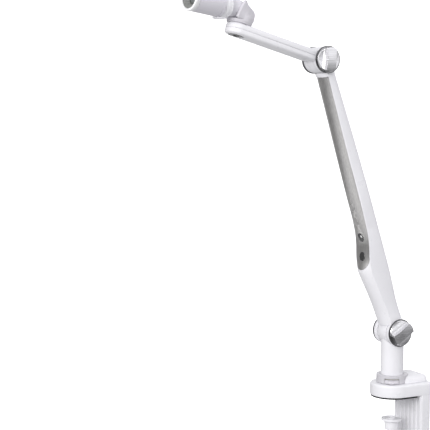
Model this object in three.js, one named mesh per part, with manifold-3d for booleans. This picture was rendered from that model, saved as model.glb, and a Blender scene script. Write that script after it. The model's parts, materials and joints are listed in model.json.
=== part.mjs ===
// Document camera on a table clamp: a clamp with a turning post, a two-part
// folding arm with knob-locked joints, and a small camera head on a swivel.
// Millimetres, +Z up. The origin is the middle of the rubber face of the upper
// jaw, under the post. The arms reach towards -X and fold about axes along Y.
import * as THREE from 'three';
import { mergeVertices } from 'three/addons/utils/BufferGeometryUtils.js';
import Module from 'manifold-3d';

const wasm = await Module();
wasm.setup();

// ---------------------------------------------------------------- dimensions
const GAP = 0.3; // clearance between neighbouring pieces
const DEG = Math.PI / 180;

const JAW = { radius: 28, back: 46, flare: 1.3, bottom: 2.1, top: 17.8, pad: 1.8 };
const WEB = { inner: 26.1, back: 41.1, halfWidth: 28.8, foot: -86, ribs: 7, ribDepth: 0.8 };
const LOWER_JAW = { top: -72, noseRadius: 17, rootHalf: 22 };
const SOCKET = { floor: 7.5, boreRadius: 16.9, collarRadius: 20, collarTop: 28.6 };
const LATCH = { azimuth: -126.6, halfWidth: 8.9, low: 18.9, high: 23.4, tongue: 4.6 };
const BOSS = { halfWidth: 21.5, back: 44.5, corner: 10, top: 27 };
const SCREW = { padTop: -29, padRadius: 13.1, rod: 5, bottom: -118, pitch: 3 };
const POST = { radius: 14.6, wall: 2.5, bottom: 8.1 };

const SHOULDER_HEIGHT = 83.4; // axis of the lower joint above the jaw face
const SHOULDER = {
  radius: 16.8, lip: 1.3, eye: 8.4, cheekIn: 9.6, cheekOut: 15.3, bolt: 4, knob: 17.5, rim: 1.9, cap: 17.6,
};
const LOWER_ARM = { length: 360.2, lean: 18.2 * DEG, start: 14, end: 342 };
const PANEL = { start: 93.5, end: 339.6, rim: 1.2, thickness: 1.8 };
const BUTTON = { proud: 0.6, length: 3.0 };
const BUTTONS = [
  { name: 'zoom_in_button', at: 172.9, radius: 4.4, dark: false },
  { name: 'zoom_out_button', at: 153.6, radius: 4.4, dark: false },
  { name: 'light_button', at: 132.2, radius: 5.6, dark: true },
  { name: 'power_button', at: 108.8, radius: 5.6, dark: true },
];

const ELBOW = { radius: 15.6, eye: 6.0, cheekIn: 6.6, cheekOut: 13.5, bolt: 3.5, knob: 16.4, rim: 4.0, cap: 16.4 };
const UPPER_ARM = { reach: 120.5, rise: 15.65 * DEG, halfWidth: 13.6, tipRadius: 14.4, top: 8, bottom: -6.8 };
const GRIP_TURN = { shoulder: -0.58, elbow: 1.62 }; // how each grip bar is left turned, about Y
const SEAT = 6.7; // flat under the camera head, above the elbow axis

const HEAD = { turn: 14 * DEG, dip: -8.6 * DEG, tiltX: -10, tiltZ: 15.8, reach: 84 };
const CRADLE = { radius: 15.6, inside: 11.1, outside: 14.2, cavity: 11.8, pinHole: 12.6 };
const BARREL = { radius: 14, wall: 1.8, start: 36.5, bezel: 15 };
const FOCUS = { start: 26, end: 36, radius: 13.6, tab: 40.5 };

// ----------------------------------------------------------------- materials
const finish = (color, roughness, metalness = 0) =>
  new THREE.MeshStandardMaterial({ color, roughness, metalness });
const WHITE = finish(0xf1f0f4, 0.35);
const PALE_GREY = finish(0xcfcdd6, 0.4);
const GREY = finish(0xc2bfca, 0.42);
const PANEL_GREY = finish(0x8d8b8a, 0.35, 0.6);
const SILVER = finish(0xb9b8bd, 0.28, 0.9);
const DARK = finish(0x3a3a3d, 0.4);
const BLACK = finish(0x141416, 0.6);
const RUBBER = finish(0x0c0c0d, 0.85);
const STEEL = finish(0x9b9da1, 0.3, 1);
const BRASS = finish(0xc4a353, 0.35, 1);
const NYLON = finish(0xdad7cc, 0.55);
const BOARD = finish(0x1f5a3a, 0.5);
const GLASS = finish(0x5d6468, 0.05);

// ------------------------------------------------------------ solid geometry
// Shared vertices are merged, slivers dropped and faces turned outward.
function weld(geometry) {
  const bare = geometry.index ? geometry.toNonIndexed() : geometry.clone();
  bare.deleteAttribute('normal');
  bare.deleteAttribute('uv');
  const merged = mergeVertices(bare, 1e-4);
  const p = merged.getAttribute('position');
  const index = merged.index.array;
  const keep = [];
  let volume = 0;
  const [a, b, c] = [new THREE.Vector3(), new THREE.Vector3(), new THREE.Vector3()];
  for (let i = 0; i < index.length; i += 3) {
    const [i0, i1, i2] = [index[i], index[i + 1], index[i + 2]];
    if (i0 === i1 || i1 === i2 || i2 === i0) continue;
    keep.push(i0, i1, i2);
    a.fromBufferAttribute(p, i0);
    b.fromBufferAttribute(p, i1);
    c.fromBufferAttribute(p, i2);
    volume += a.dot(b.cross(c));
  }
  if (volume < 0) keep.reverse();
  merged.setIndex(keep);
  return merged;
}

function toSolid(geometry) {
  const g = weld(geometry);
  const vertProperties = new Float32Array(g.getAttribute('position').array);
  const triVerts = new Uint32Array(g.index.array);
  return new wasm.Manifold(new wasm.Mesh({ numProp: 3, vertProperties, triVerts }));
}

function toGeometry(solid) {
  const mesh = solid.getMesh();
  const g = new THREE.BufferGeometry();
  g.setAttribute('position', new THREE.BufferAttribute(new Float32Array(mesh.vertProperties), 3));
  g.setIndex(new THREE.BufferAttribute(new Uint32Array(mesh.triVerts), 1));
  return g;
}

const union = (...list) => toGeometry(list.map(toSolid).reduce((a, b) => a.add(b)));
const cut = (base, ...tools) =>
  toGeometry(tools.map(toSolid).reduce((a, b) => a.subtract(b), toSolid(base)));
const common = (first, second) => toGeometry(toSolid(first).intersect(toSolid(second)));

function box(x0, x1, y0, y1, z0, z1) {
  return new THREE.BoxGeometry(x1 - x0, y1 - y0, z1 - z0)
    .translate((x0 + x1) / 2, (y0 + y1) / 2, (z0 + z1) / 2);
}

// Turned shapes: `profile` is [radius, height] pairs, spun about Z.
function turned(profile, segments = 28) {
  const points = profile.map(([r, h]) => new THREE.Vector2(r, h));
  return new THREE.LatheGeometry(points, segments).rotateX(Math.PI / 2);
}

const rod = (radius, z0, z1, segments = 28) =>
  new THREE.CylinderGeometry(radius, radius, z1 - z0, segments)
    .rotateX(Math.PI / 2).translate(0, 0, (z0 + z1) / 2);
const rodY = (radius, y0, y1, segments = 28) =>
  new THREE.CylinderGeometry(radius, radius, y1 - y0, segments).translate(0, (y0 + y1) / 2, 0);

function ring(outer, inner, z0, z1, segments = 28) {
  return turned([[inner, z0], [outer, z0], [outer, z1], [inner, z1], [inner, z0]], segments);
}
const ringY = (outer, inner, y0, y1, segments = 28) =>
  ring(outer, inner, y0, y1, segments).rotateX(-Math.PI / 2);

// A flat outline raised along Z, with its top and bottom edges eased.
function slab(shape, z0, z1, ease = 0, curveSegments = 8) {
  return new THREE.ExtrudeGeometry(shape, {
    depth: z1 - z0 - 2 * ease, bevelEnabled: ease > 0, bevelThickness: ease,
    bevelSize: ease, bevelOffset: -ease, bevelSegments: 1, curveSegments,
  }).translate(0, 0, z0 + ease);
}

// A closed skin through rings of equal point count, with fan-capped ends.
function loft(rings) {
  const n = rings[0].length;
  const points = rings.flat();
  const index = [];
  for (let r = 0; r + 1 < rings.length; r++) {
    for (let i = 0; i < n; i++) {
      const j = (i + 1) % n;
      const [a, b, c, d] = [r * n + i, r * n + j, (r + 1) * n + j, (r + 1) * n + i];
      index.push(a, b, c, a, c, d);
    }
  }
  const last = (rings.length - 1) * n;
  for (let i = 1; i + 1 < n; i++) {
    index.push(0, i + 1, i);
    index.push(last, last + i, last + i + 1);
  }
  const g = new THREE.BufferGeometry();
  g.setAttribute('position', new THREE.Float32BufferAttribute(points.flatMap((p) => p.toArray()), 3));
  g.setIndex(index);
  return g;
}

function add(parent, name, geometry, material) {
  const mesh = new THREE.Mesh(weld(geometry), material);
  mesh.name = name;
  parent.add(mesh);
}

function group(parent, position = [0, 0, 0], rotation = [0, 0, 0]) {
  const g = new THREE.Group();
  g.position.set(...position);
  g.rotation.set(...rotation);
  parent.add(g);
  return g;
}

// -------------------------------------------------------------------- clamp
// Plan outline of a jaw: a round nose about the post axis, then sides that
// spread by `flare` towards the back.
function jawOutline(radius, back, corner, flare) {
  const s = new THREE.Shape();
  const side = radius + flare;
  s.moveTo(back, -side + corner);
  s.lineTo(back, side - corner);
  s.absarc(back - corner, side - corner, corner, 0, Math.PI / 2);
  s.absarc(0, 0, radius, Math.PI / 2, 1.5 * Math.PI);
  s.absarc(back - corner, -side + corner, corner, 1.5 * Math.PI, 2 * Math.PI);
  return s;
}

function lowerJawOutline() {
  const s = new THREE.Shape();
  s.moveTo(WEB.inner + 6, -LOWER_JAW.rootHalf);
  s.lineTo(WEB.inner + 6, LOWER_JAW.rootHalf);
  s.lineTo(WEB.inner - 4, LOWER_JAW.rootHalf);
  s.absarc(0, 0, LOWER_JAW.noseRadius, 0.42 * Math.PI, 1.58 * Math.PI);
  s.lineTo(WEB.inner - 4, -LOWER_JAW.rootHalf);
  return s;
}

function clampFrame() {
  const ribs = [];
  const pitch = (2 * WEB.halfWidth - 8) / (WEB.ribs - 1);
  for (let i = 0; i < WEB.ribs; i++) {
    const y = (i - (WEB.ribs - 1) / 2) * pitch;
    ribs.push(box(WEB.inner - WEB.ribDepth, WEB.inner + 1, y - 1.5, y + 1.5, -70, 1));
  }
  const body = union(
    slab(jawOutline(JAW.radius, JAW.back, 8, JAW.flare), JAW.bottom, JAW.top, 1.5),
    box(WEB.inner, WEB.back, -WEB.halfWidth, WEB.halfWidth, LOWER_JAW.top - 1, JAW.bottom + 3),
    slab(lowerJawOutline(), WEB.foot, LOWER_JAW.top, 1.5),
    box(WEB.inner, WEB.back, -WEB.halfWidth, WEB.halfWidth, WEB.foot, LOWER_JAW.top),
    ...ribs,
  );
  return cut(
    body,
    rod(SOCKET.boreRadius, SOCKET.floor, JAW.top + 5, 32),
    rod(3.2, 0, SOCKET.floor + 1, 20),
    rod(6.2, 0, 5.2, 24),
    rod(9.3, WEB.foot - 1, LOWER_JAW.top + 1, 6),
  );
}

// Ring round the post foot, with a window for the latch.
function socketCollar() {
  const { boreRadius: bore, collarRadius: outer, collarTop: top } = SOCKET;
  const body = turned([
    [bore, JAW.top + GAP], [outer, JAW.top + GAP], [outer, top - 1], [outer - 1, top],
    [POST.radius + 0.4, top], [POST.radius + 0.4, top - 0.8], [bore, top - 0.8], [bore, JAW.top + GAP],
  ], 32);
  const window = box(8, 25, -LATCH.halfWidth - GAP, LATCH.halfWidth + GAP, LATCH.low - GAP, LATCH.high + 1.6)
    .rotateZ(LATCH.azimuth * DEG);
  return cut(body, window);
}

// Press tab in the collar window, with a round tongue resting over the jaw.
function latch() {
  const sector = box(8, 25, -LATCH.halfWidth, LATCH.halfWidth, LATCH.low, LATCH.high)
    .rotateZ(LATCH.azimuth * DEG);
  const plate = common(ring(SOCKET.collarRadius + 0.7, 17.7, LATCH.low - 1, LATCH.high + 1, 32), sector);
  const tongue = cut(
    rod(LATCH.tongue, LATCH.low, LATCH.low + 1.2, 24).translate(SOCKET.collarRadius - 0.4, 0, 0),
    rod(18.5, 0, 40, 32),
  ).rotateZ(LATCH.azimuth * DEG);
  return union(plate, tongue);
}

function rearBoss() {
  const s = new THREE.Shape();
  const { corner } = BOSS;
  s.moveTo(6, -BOSS.halfWidth);
  s.lineTo(BOSS.back - corner, -BOSS.halfWidth);
  s.absarc(BOSS.back - corner, -BOSS.halfWidth + corner, corner, -Math.PI / 2, 0);
  s.absarc(BOSS.back - corner, BOSS.halfWidth - corner, corner, 0, Math.PI / 2);
  s.lineTo(6, BOSS.halfWidth);
  const ease = 3;
  const body = new THREE.ExtrudeGeometry(s, {
    depth: BOSS.top - JAW.top, bevelEnabled: true, bevelThickness: ease, bevelSize: ease,
    bevelOffset: -ease, bevelSegments: 2, curveSegments: 5,
  }).translate(0, 0, JAW.top - ease);
  return cut(
    body,
    box(0, 60, -30, 30, 0, JAW.top + GAP),
    rod(SOCKET.collarRadius + GAP, 0, 40, 32),
    box(BOSS.back - 8.2, BOSS.back + 5, -4.7, 4.7, 20.7, 24.3),
  );
}

function buildClamp(root) {
  add(root, 'clamp_frame', clampFrame(), WHITE);
  add(root, 'jaw_rubber_pad', slab(jawOutline(26.9, 22.7, 4, 0.7), 0, JAW.pad), RUBBER);
  add(root, 'post_bush', ring(16.6, POST.radius + GAP, 7.8, 27.4, 32), NYLON);
  add(root, 'socket_collar', socketCollar(), PALE_GREY);
  add(root, 'rear_boss', rearBoss(), WHITE);
  add(root, 'data_port', cut(
    box(BOSS.back - 7.9, BOSS.back - 0.2, -4.4, 4.4, 21, 24), box(BOSS.back - 6.2, 50, -3.9, 3.9, 21.5, 23.5),
  ), STEEL);
  add(root, 'swivel_latch', latch(), GREY);
  add(root, 'clamp_nut', cut(rod(9, WEB.foot + 0.4, LOWER_JAW.top - 0.4, 6), rod(5.4, -100, -60, 24)), BRASS);
}

function clampKnob(top) {
  const lobes = [];
  for (let i = 0; i < 3; i++) {
    lobes.push(rod(8, top - 13, top - 1, 20).translate(13, 0, 0).rotateZ((i * 2 * Math.PI) / 3));
  }
  const body = union(rod(15, top - 14, top, 30), ...lobes);
  return cut(body, rod(SCREW.rod + GAP, top - 8, top + 2, 24));
}

function buildClampScrew(root) {
  const { padTop: top, padRadius: r } = SCREW;
  add(root, 'pressure_pad', turned([
    [0, top], [4.6, top], [5.2, top - 1.2], [8, top - 1.8], [11.4, top - 1.2], [12.2, top],
    [r, top - 0.6], [r, top - 3], [9.2, top - 5], [8.8, top - 9], [8.8, top - 15],
    [6.2, top - 15], [6.2, top - 8], [0, top - 8],
  ]), WHITE);
  add(root, 'clamp_screw', turned([
    [0, top - 8.4], [5.8, top - 8.4], [5.8, top - 12], [SCREW.rod, top - 12.6],
    [SCREW.rod, SCREW.bottom + 1], [SCREW.rod - 1, SCREW.bottom], [0, SCREW.bottom],
  ], 24), STEEL);
  add(root, 'clamp_screw_knob', clampKnob(SCREW.bottom + 7.4), WHITE);
}

// --------------------------------------------------------------------- post
function postTube() {
  const tube = ring(POST.radius, POST.radius - POST.wall, POST.bottom, SHOULDER_HEIGHT, 32);
  const saddle = rodY(SHOULDER.radius + GAP, -20, 20, 32).translate(0, 0, SHOULDER_HEIGHT);
  const clear = (side) => rodY(SHOULDER.radius + 1 + GAP, SHOULDER.cheekOut - SHOULDER.lip - GAP, 20, 32)
    .scale(1, side, 1).translate(0, 0, SHOULDER_HEIGHT);
  return cut(tube, saddle, clear(1), clear(-1));
}

// Plug inside the tube that carries the eye of the lower joint.
function postHead() {
  const plug = rod(POST.radius - POST.wall - GAP, 52, SHOULDER_HEIGHT, 32);
  const eye = rodY(SHOULDER.radius, -SHOULDER.eye, SHOULDER.eye, 32).translate(0, 0, SHOULDER_HEIGHT);
  const clear = (side) => rodY(SHOULDER.radius + GAP, SHOULDER.eye, 20, 32)
    .scale(1, side, 1).translate(0, 0, SHOULDER_HEIGHT);
  const bore = rodY(SHOULDER.bolt + GAP, -20, 20, 24).translate(0, 0, SHOULDER_HEIGHT);
  return cut(union(plug, eye), clear(1), clear(-1), bore);
}

function buildPost(root) {
  add(root, 'post_tube', postTube(), WHITE);
  add(root, 'post_head', postHead(), WHITE);
  add(root, 'post_foot_plug', ring(POST.radius - POST.wall - GAP, 3.1, POST.bottom, 22), NYLON);
  add(root, 'pivot_screw', turned([
    [0, 2.6], [5.8, 2.6], [5.8, 4.9], [2.8, 4.9], [2.8, 20], [0, 20],
  ], 24), STEEL);
}

// -------------------------------------------------------------------- knobs
// Round knob with a grip bar left standing between two scooped sides. The
// grip points along -Y from `y`; its bar lies along X, turned by `angle`.
function gripKnob(radius, rim, y, angle, boltRadius, boltEnd) {
  const height = rim + 7;
  const hollow = 12;
  const blank = turned([
    [0, y - height - 0.8], [radius - 8, y - height - 0.5], [radius - 3, y - height + 0.5],
    [radius - 1.8, y - height + 1.4], [radius - 1.6, y - rim], [radius - 0.6, y - rim],
    [radius, y - rim + 0.6], [radius, y], [0, y],
  ], 32).rotateX(-Math.PI / 2);
  const scoop = (side) => rodY(hollow, -30, 30, 48).rotateZ(Math.PI / 2)
    .translate(0, y - rim - hollow, side * 18);
  const trim = cut(blank, scoop(1), scoop(-1));
  const bolt = rodY(boltRadius, y - 1, boltEnd, 24);
  return union(trim, bolt).rotateY(angle);
}

function farCap(radius, y) {
  return cut(
    turned([
      [0, y], [radius - 1, y], [radius, y + 0.8], [radius, y + 2.4], [radius - 0.8, y + 3.2], [0, y + 3.2],
    ], 32).rotateX(-Math.PI / 2),
    rodY(3, y + 1.6, y + 5, 6),
  );
}

// ---------------------------------------------------------------- lower arm
// Stations along the arm: distance, front face, back face, half width, and how
// far the front crown falls away at its edges.
const ARM_STATIONS = [
  [14, -13.5, 14.0, 15.3, 5.5],
  [38, -15.2, 12.8, 15.3, 5.5],
  [60, -18.1, 13.8, 15.3, 5.6],
  [80, -21.6, 14.6, 15.3, 6.0],
  [93, -22.6, 14.9, 15.2, 6.0],
  [107, -15.8, 14.9, 15.1, 1.6],
  [124, -10.1, 15.0, 14.9, 0.5],
  [143, -10.1, 15.0, 14.7, 3.6],
  [190, -11.4, 15.0, 14.4, 6.8],
  [255, -9.5, 13.6, 14.0, 5.0],
  [342, -5.3, 11.0, 13.6, 2.2],
];
const BACK = { crown: 8, power: 3.5 }; // how the back rounds off towards the sides
const stationCurves = [1, 2, 3, 4].map((k) =>
  new THREE.SplineCurve(ARM_STATIONS.map((row) => new THREE.Vector2(row[0], row[k]))));

// Value of one station column at distance s along the arm.
function profileAt(column, s) {
  const curve = stationCurves[column];
  let [low, high] = [0, 1];
  for (let i = 0; i < 30; i++) {
    const mid = (low + high) / 2;
    if (curve.getPoint(mid).x < s) low = mid;
    else high = mid;
  }
  return curve.getPoint(low).y;
}
const frontAt = (s) => profileAt(0, s);
const backAt = (s) => profileAt(1, s);
const halfWidthAt = (s) => profileAt(2, s);
const crownAt = (s) => profileAt(3, s);

// Front surface of the arm at distance s and across it at y.
const frontSurface = (s, y) => frontAt(s) + crownAt(s) * Math.abs(y / halfWidthAt(s)) ** 2.3;

function armRing(s, inset) {
  const w = halfWidthAt(s) - inset;
  const steps = 4;
  const points = [];
  for (let i = -steps; i <= steps; i++) {
    const t = Math.sin((i / steps) * Math.PI / 2);
    points.push(new THREE.Vector3(frontAt(s) + inset + crownAt(s) * Math.abs(t) ** 2.3, t * w, s));
  }
  for (let i = steps; i >= -steps; i--) {
    const t = Math.sin((i / steps) * Math.PI / 2);
    points.push(new THREE.Vector3(backAt(s) - inset - BACK.crown * Math.abs(t) ** BACK.power, t * w, s));
  }
  return points;
}

function stations(from, to, step) {
  const count = Math.max(1, Math.round((to - from) / step));
  return Array.from({ length: count + 1 }, (_, i) => from + ((to - from) * i) / count);
}

const armBody = (from, to, inset, step) =>
  loft(stations(from, to, step).map((s) => armRing(s, inset)));

// Strip that follows the front crown: `outer` and `inner` are depths below the
// surface, `side` its distance from the arm's edge; its low end is round.
function frontStrip(from, to, side, outer, inner, step) {
  const radius = halfWidthAt(from) - side;
  const heights = [0.4, 1.6, 4, 7.5, 11.5].filter((h) => h < radius).map((h) => from + h);
  const all = [...heights, ...stations(from + radius + 2, to, step)];
  return loft(all.map((s) => {
    const h = Math.min(s - from, radius);
    const w = Math.min(halfWidthAt(s) - side, Math.sqrt(radius ** 2 - (radius - h) ** 2));
    const points = [];
    for (let i = -3; i <= 3; i++) {
      points.push(new THREE.Vector3(frontSurface(s, (i / 3) * w) + outer, (i / 3) * w, s));
    }
    for (let i = 3; i >= -3; i--) {
      points.push(new THREE.Vector3(frontSurface(s, (i / 3) * w) + inner, (i / 3) * w, s));
    }
    return points;
  }));
}

function armShell() {
  const { cheekIn, cheekOut, radius, lip, bolt } = SHOULDER;
  const cheek = (side) => union(
    rodY(radius, cheekIn, cheekOut, 32), rodY(radius + 1, cheekOut - lip, cheekOut, 32),
  ).scale(1, side, 1);
  const collar = loft(stations(PANEL.end - GAP, 352, 5).map((s) =>
    armRing(LOWER_ARM.end, 0).map((p) => new THREE.Vector3(p.x < 0 ? p.x - 1.2 : p.x + 0.2, p.y, s))));
  const outer = union(armBody(LOWER_ARM.start, LOWER_ARM.end, 0, 16), cheek(1), cheek(-1), collar);
  const recess = frontStrip(PANEL.start - GAP, PANEL.end + GAP, PANEL.rim - GAP, -4, PANEL.thickness + GAP, 24);
  const window = frontStrip(PANEL.start + 6, PANEL.end - 6, PANEL.rim + 4, -1, 7, 30);
  return cut(
    outer,
    armBody(44, 322, 2.4, 28),
    recess,
    window,
    rodY(radius + 0.5, -cheekIn, cheekIn, 32),
    rodY(bolt + GAP, -20, 20, 24),
    rodY(7.3, 11.8, 20, 6),
    rodY(ELBOW.radius + 0.6, -20, 20, 32).translate(0, 0, LOWER_ARM.length),
    box(-4.4, 5.4, -ELBOW.eye - GAP, ELBOW.eye + GAP, 310, 356),
  );
}

// Where a button sits: a point on the front surface and the angle of its axis.
function buttonPlace(s) {
  const slope = (frontAt(s + 1) - frontAt(s - 1)) / 2;
  return { x: frontAt(s), z: s, angle: Math.atan(slope) };
}

function atButton(geometry, s) {
  const place = buttonPlace(s);
  return geometry.rotateY(-Math.PI / 2).rotateY(place.angle).translate(place.x, 0, place.z);
}

function controlPanel() {
  const strip = frontStrip(PANEL.start, PANEL.end, PANEL.rim, 0, PANEL.thickness, 24);
  return cut(strip, ...BUTTONS.map(({ at, radius }) => atButton(rod(radius + GAP, -8, 5, 20), at)));
}

function elbowEye() {
  const eye = rodY(ELBOW.radius, -ELBOW.eye, ELBOW.eye, 32).translate(0, 0, LOWER_ARM.length);
  const tongue = box(-2.7, 5.1, -ELBOW.eye, ELBOW.eye, 313, 356);
  const bore = rodY(ELBOW.bolt + GAP, -20, 20, 24).translate(0, 0, LOWER_ARM.length);
  return cut(union(eye, tongue), bore);
}

function buildLowerArm(arm) {
  add(arm, 'lower_arm_shell', armShell(), WHITE);
  add(arm, 'control_panel', controlPanel(), PANEL_GREY);
  add(arm, 'elbow_eye', elbowEye(), WHITE);
  add(arm, 'arm_spine', cut(box(1.4, 6.6, -5, 5, 50, 306), box(2.6, 5.4, -3.8, 3.8, 40, 320)), STEEL);
  add(arm, 'control_board', box(-0.6, 0.6, -6.5, 6.5, -44, 44)
    .rotateY(0.07).translate(-3.2, 0, 140), BOARD);
  add(arm, 'shoulder_nut', cut(rodY(6.9, 12.1, 15.2, 6), rodY(SHOULDER.bolt + GAP, 5, 20, 24)), STEEL);
  add(arm, 'shoulder_cap', farCap(SHOULDER.cap, SHOULDER.cheekOut + GAP), DARK);
  for (const [name, side] of [['near', -1], ['far', 1]]) {
    add(arm, `shoulder_washer_${name}`,
      ringY(10, SHOULDER.bolt + GAP, SHOULDER.eye + 0.2, SHOULDER.cheekIn - 0.2, 28).scale(1, side, 1), STEEL);
  }
}

function buildButtons(arm) {
  for (const { name, at, radius, dark } of BUTTONS) {
    const { proud, length } = BUTTON;
    const body = turned([
      [0, proud - length], [radius, proud - length], [radius, proud - 0.5], [radius - 0.7, proud],
      [0, proud - 0.25],
    ], 20);
    add(arm, name, atButton(body, at), dark ? BLACK : PANEL_GREY);
  }
}

// ---------------------------------------------------------------- upper arm
// Plan of the arm: straight sides, a round tip under the camera head.
function upperPlan(inset) {
  const s = new THREE.Shape();
  const w = UPPER_ARM.halfWidth - inset;
  const r = UPPER_ARM.tipRadius - inset;
  s.moveTo(-8, -w);
  s.lineTo(-8, w);
  s.lineTo(-UPPER_ARM.reach + 20, w);
  s.absarc(-UPPER_ARM.reach, 0, r, 0.5 * Math.PI, 1.5 * Math.PI);
  s.lineTo(-UPPER_ARM.reach + 20, -w);
  return s;
}

function upperShell(isTop) {
  const { top, bottom, reach } = UPPER_ARM;
  const outer = slab(upperPlan(0), bottom, top, 2.2, 12);
  const half = isTop ? box(-150, 10, -20, 20, 0.35, 20) : box(-150, 10, -20, 20, -20, 0.05);
  const hinge = rodY(ELBOW.radius + 0.4, -20, 20, 32);
  const cavity = slab(upperPlan(2.2), bottom + 2, top - 3.4, 0, 8);
  const seat = isTop
    ? [rod(UPPER_ARM.tipRadius + 1, SEAT, SEAT + 9, 32), rod(5.3, 0, 20, 24)]
    : [rod(9.5, -20, 0, 32), rod(3.2, bottom - 1, bottom + 1.1, 20).translate(reach - 21, 0, 0)];
  const tools = seat.map((g) => g.translate(-reach, 0, 0));
  return cut(common(outer, half), hinge, cavity, ...tools);
}

function elbowFork() {
  const { radius, cheekIn, cheekOut, bolt } = ELBOW;
  const cheek = (side) => rodY(radius, cheekIn, cheekOut, 32).scale(1, side, 1);
  const tongue = box(-44, -8, -10.5, 10.5, -3.6, 4.2);
  return cut(
    union(cheek(1), cheek(-1), tongue),
    rodY(radius + 0.5, -cheekIn, cheekIn, 32),
    rodY(bolt + GAP, -20, 20, 24),
    rodY(6.5, 10.2, 20, 6),
  );
}

function buildUpperArm(arm) {
  add(arm, 'upper_arm_top_shell', upperShell(true), WHITE);
  add(arm, 'upper_arm_bottom_shell', upperShell(false), WHITE);
  add(arm, 'elbow_fork', elbowFork(), WHITE);
  add(arm, 'elbow_nut', cut(rodY(6.1, 10.5, 13.4, 6), rodY(ELBOW.bolt + GAP, 5, 20, 24)), STEEL);
  add(arm, 'elbow_cap', farCap(ELBOW.cap, ELBOW.cheekOut + GAP), DARK);
  add(arm, 'swivel_cover', turned([
    [0, -5.8], [6, -6.6], [9.1, -5.6], [9.1, -2.2], [0, -2.2],
  ]).translate(-UPPER_ARM.reach, 0, 0), BLACK);
}

// -------------------------------------------------------------- camera head
function cradle() {
  const { radius, inside, outside, cavity, pinHole } = CRADLE;
  const { tiltX, tiltZ } = HEAD;
  const base = turned([
    [0, GAP], [14.4, GAP], [radius, 4], [radius, 8.5], [14.2, 12], [9, 16], [0, 17.5],
  ], 32);
  const side = new THREE.Shape([
    [-17, 4], [-14.8, 14], [-12.2, 22], [-10.8, 25.8], [-9.4, 27], [-7.6, 26], [-3.6, 22.4],
    [3.7, 19.8], [7.6, 17.9], [9.9, 14.5], [10.4, 9], [10, 4],
  ].map(([x, z]) => new THREE.Vector2(x, z)));
  const cheeks = slab(side, -outside, outside, 1.2).rotateX(Math.PI / 2);
  return cut(
    union(base, cheeks),
    rodY(cavity, -inside, inside, 32).translate(tiltX, 0, tiltZ),
    box(-40, tiltX, -inside, inside, tiltZ - cavity, 32),
    box(-40, tiltX + cavity, -inside, inside, tiltZ, 32),
    rodY(2.8, -pinHole, pinHole, 16).translate(tiltX, 0, tiltZ),
    rod(4.4, -1, 3.4, 20),
  );
}

function swivelAxle() {
  return turned([[0, 1.2 - SEAT], [8.4, 1.2 - SEAT], [8.4, 4.3 - SEAT], [4.9, 4.3 - SEAT],
    [4.9, 0.1], [4.1, 0.1], [4.1, 3.1], [0, 3.1]], 24);
}

function buildCradle(head) {
  add(head, 'head_cradle', cradle(), GREY);
  add(head, 'swivel_axle', swivelAxle(), STEEL);
  for (const [name, side] of [['near', -1], ['far', 1]]) {
    add(head, `tilt_pin_${name}`, rodY(2.5, 8.4, CRADLE.pinHole - 0.2, 16).scale(1, side, 1)
      .translate(HEAD.tiltX, 0, HEAD.tiltZ), STEEL);
  }
}

// Turned about the barrel axis: `profile` is [radius, distance ahead of the swivel].
const alongBarrel = (geometry) => geometry.rotateY(-Math.PI / 2).translate(-HEAD.tiltX, 0, 0);
const barrelTurned = (profile, segments = 28) => alongBarrel(turned(profile, segments));

function knuckle() {
  const ball = common(
    new THREE.SphereGeometry(CRADLE.cavity - 0.4, 20, 12),
    box(-30, 30, -CRADLE.inside + GAP, CRADLE.inside - GAP, -30, 30),
  );
  const neck = barrelTurned([[0, 12], [10.4, 12], [10.4, FOCUS.start - 2], [11.4, FOCUS.start - 1.2],
    [11.4, BARREL.start + 4], [7, BARREL.start + 4], [7, 30], [0, 30]]);
  return cut(union(ball, neck), rodY(2.8, -20, 20, 16));
}

function focusRing() {
  const ringBody = barrelTurned([
    [11.8, FOCUS.start], [FOCUS.radius - 0.6, FOCUS.start], [FOCUS.radius, FOCUS.start + 0.8],
    [FOCUS.radius, FOCUS.end - 0.8], [FOCUS.radius - 0.6, FOCUS.end], [11.8, FOCUS.end], [11.8, FOCUS.start],
  ]);
  const tab = common(
    barrelTurned([
      [13.0, FOCUS.start + 1], [14.6, FOCUS.start + 1], [16.9, FOCUS.tab - 2], [16.4, FOCUS.tab],
      [14.4, FOCUS.tab], [14.4, FOCUS.end - 0.4], [13.0, FOCUS.end - 0.4], [13.0, FOCUS.start + 1],
    ]),
    box(-60, 0, -4.6, 4.6, -30, 0),
  );
  return union(ringBody, tab);
}

function barrelShell() {
  const { radius: r, wall, start } = BARREL;
  return barrelTurned([
    [11.7, start], [r - 0.5, start], [r, start + 0.6], [r, HEAD.reach - 7],
    [r - wall, HEAD.reach - 7], [r - wall, start + 5], [11.7, start + 5], [11.7, start],
  ]);
}

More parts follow.
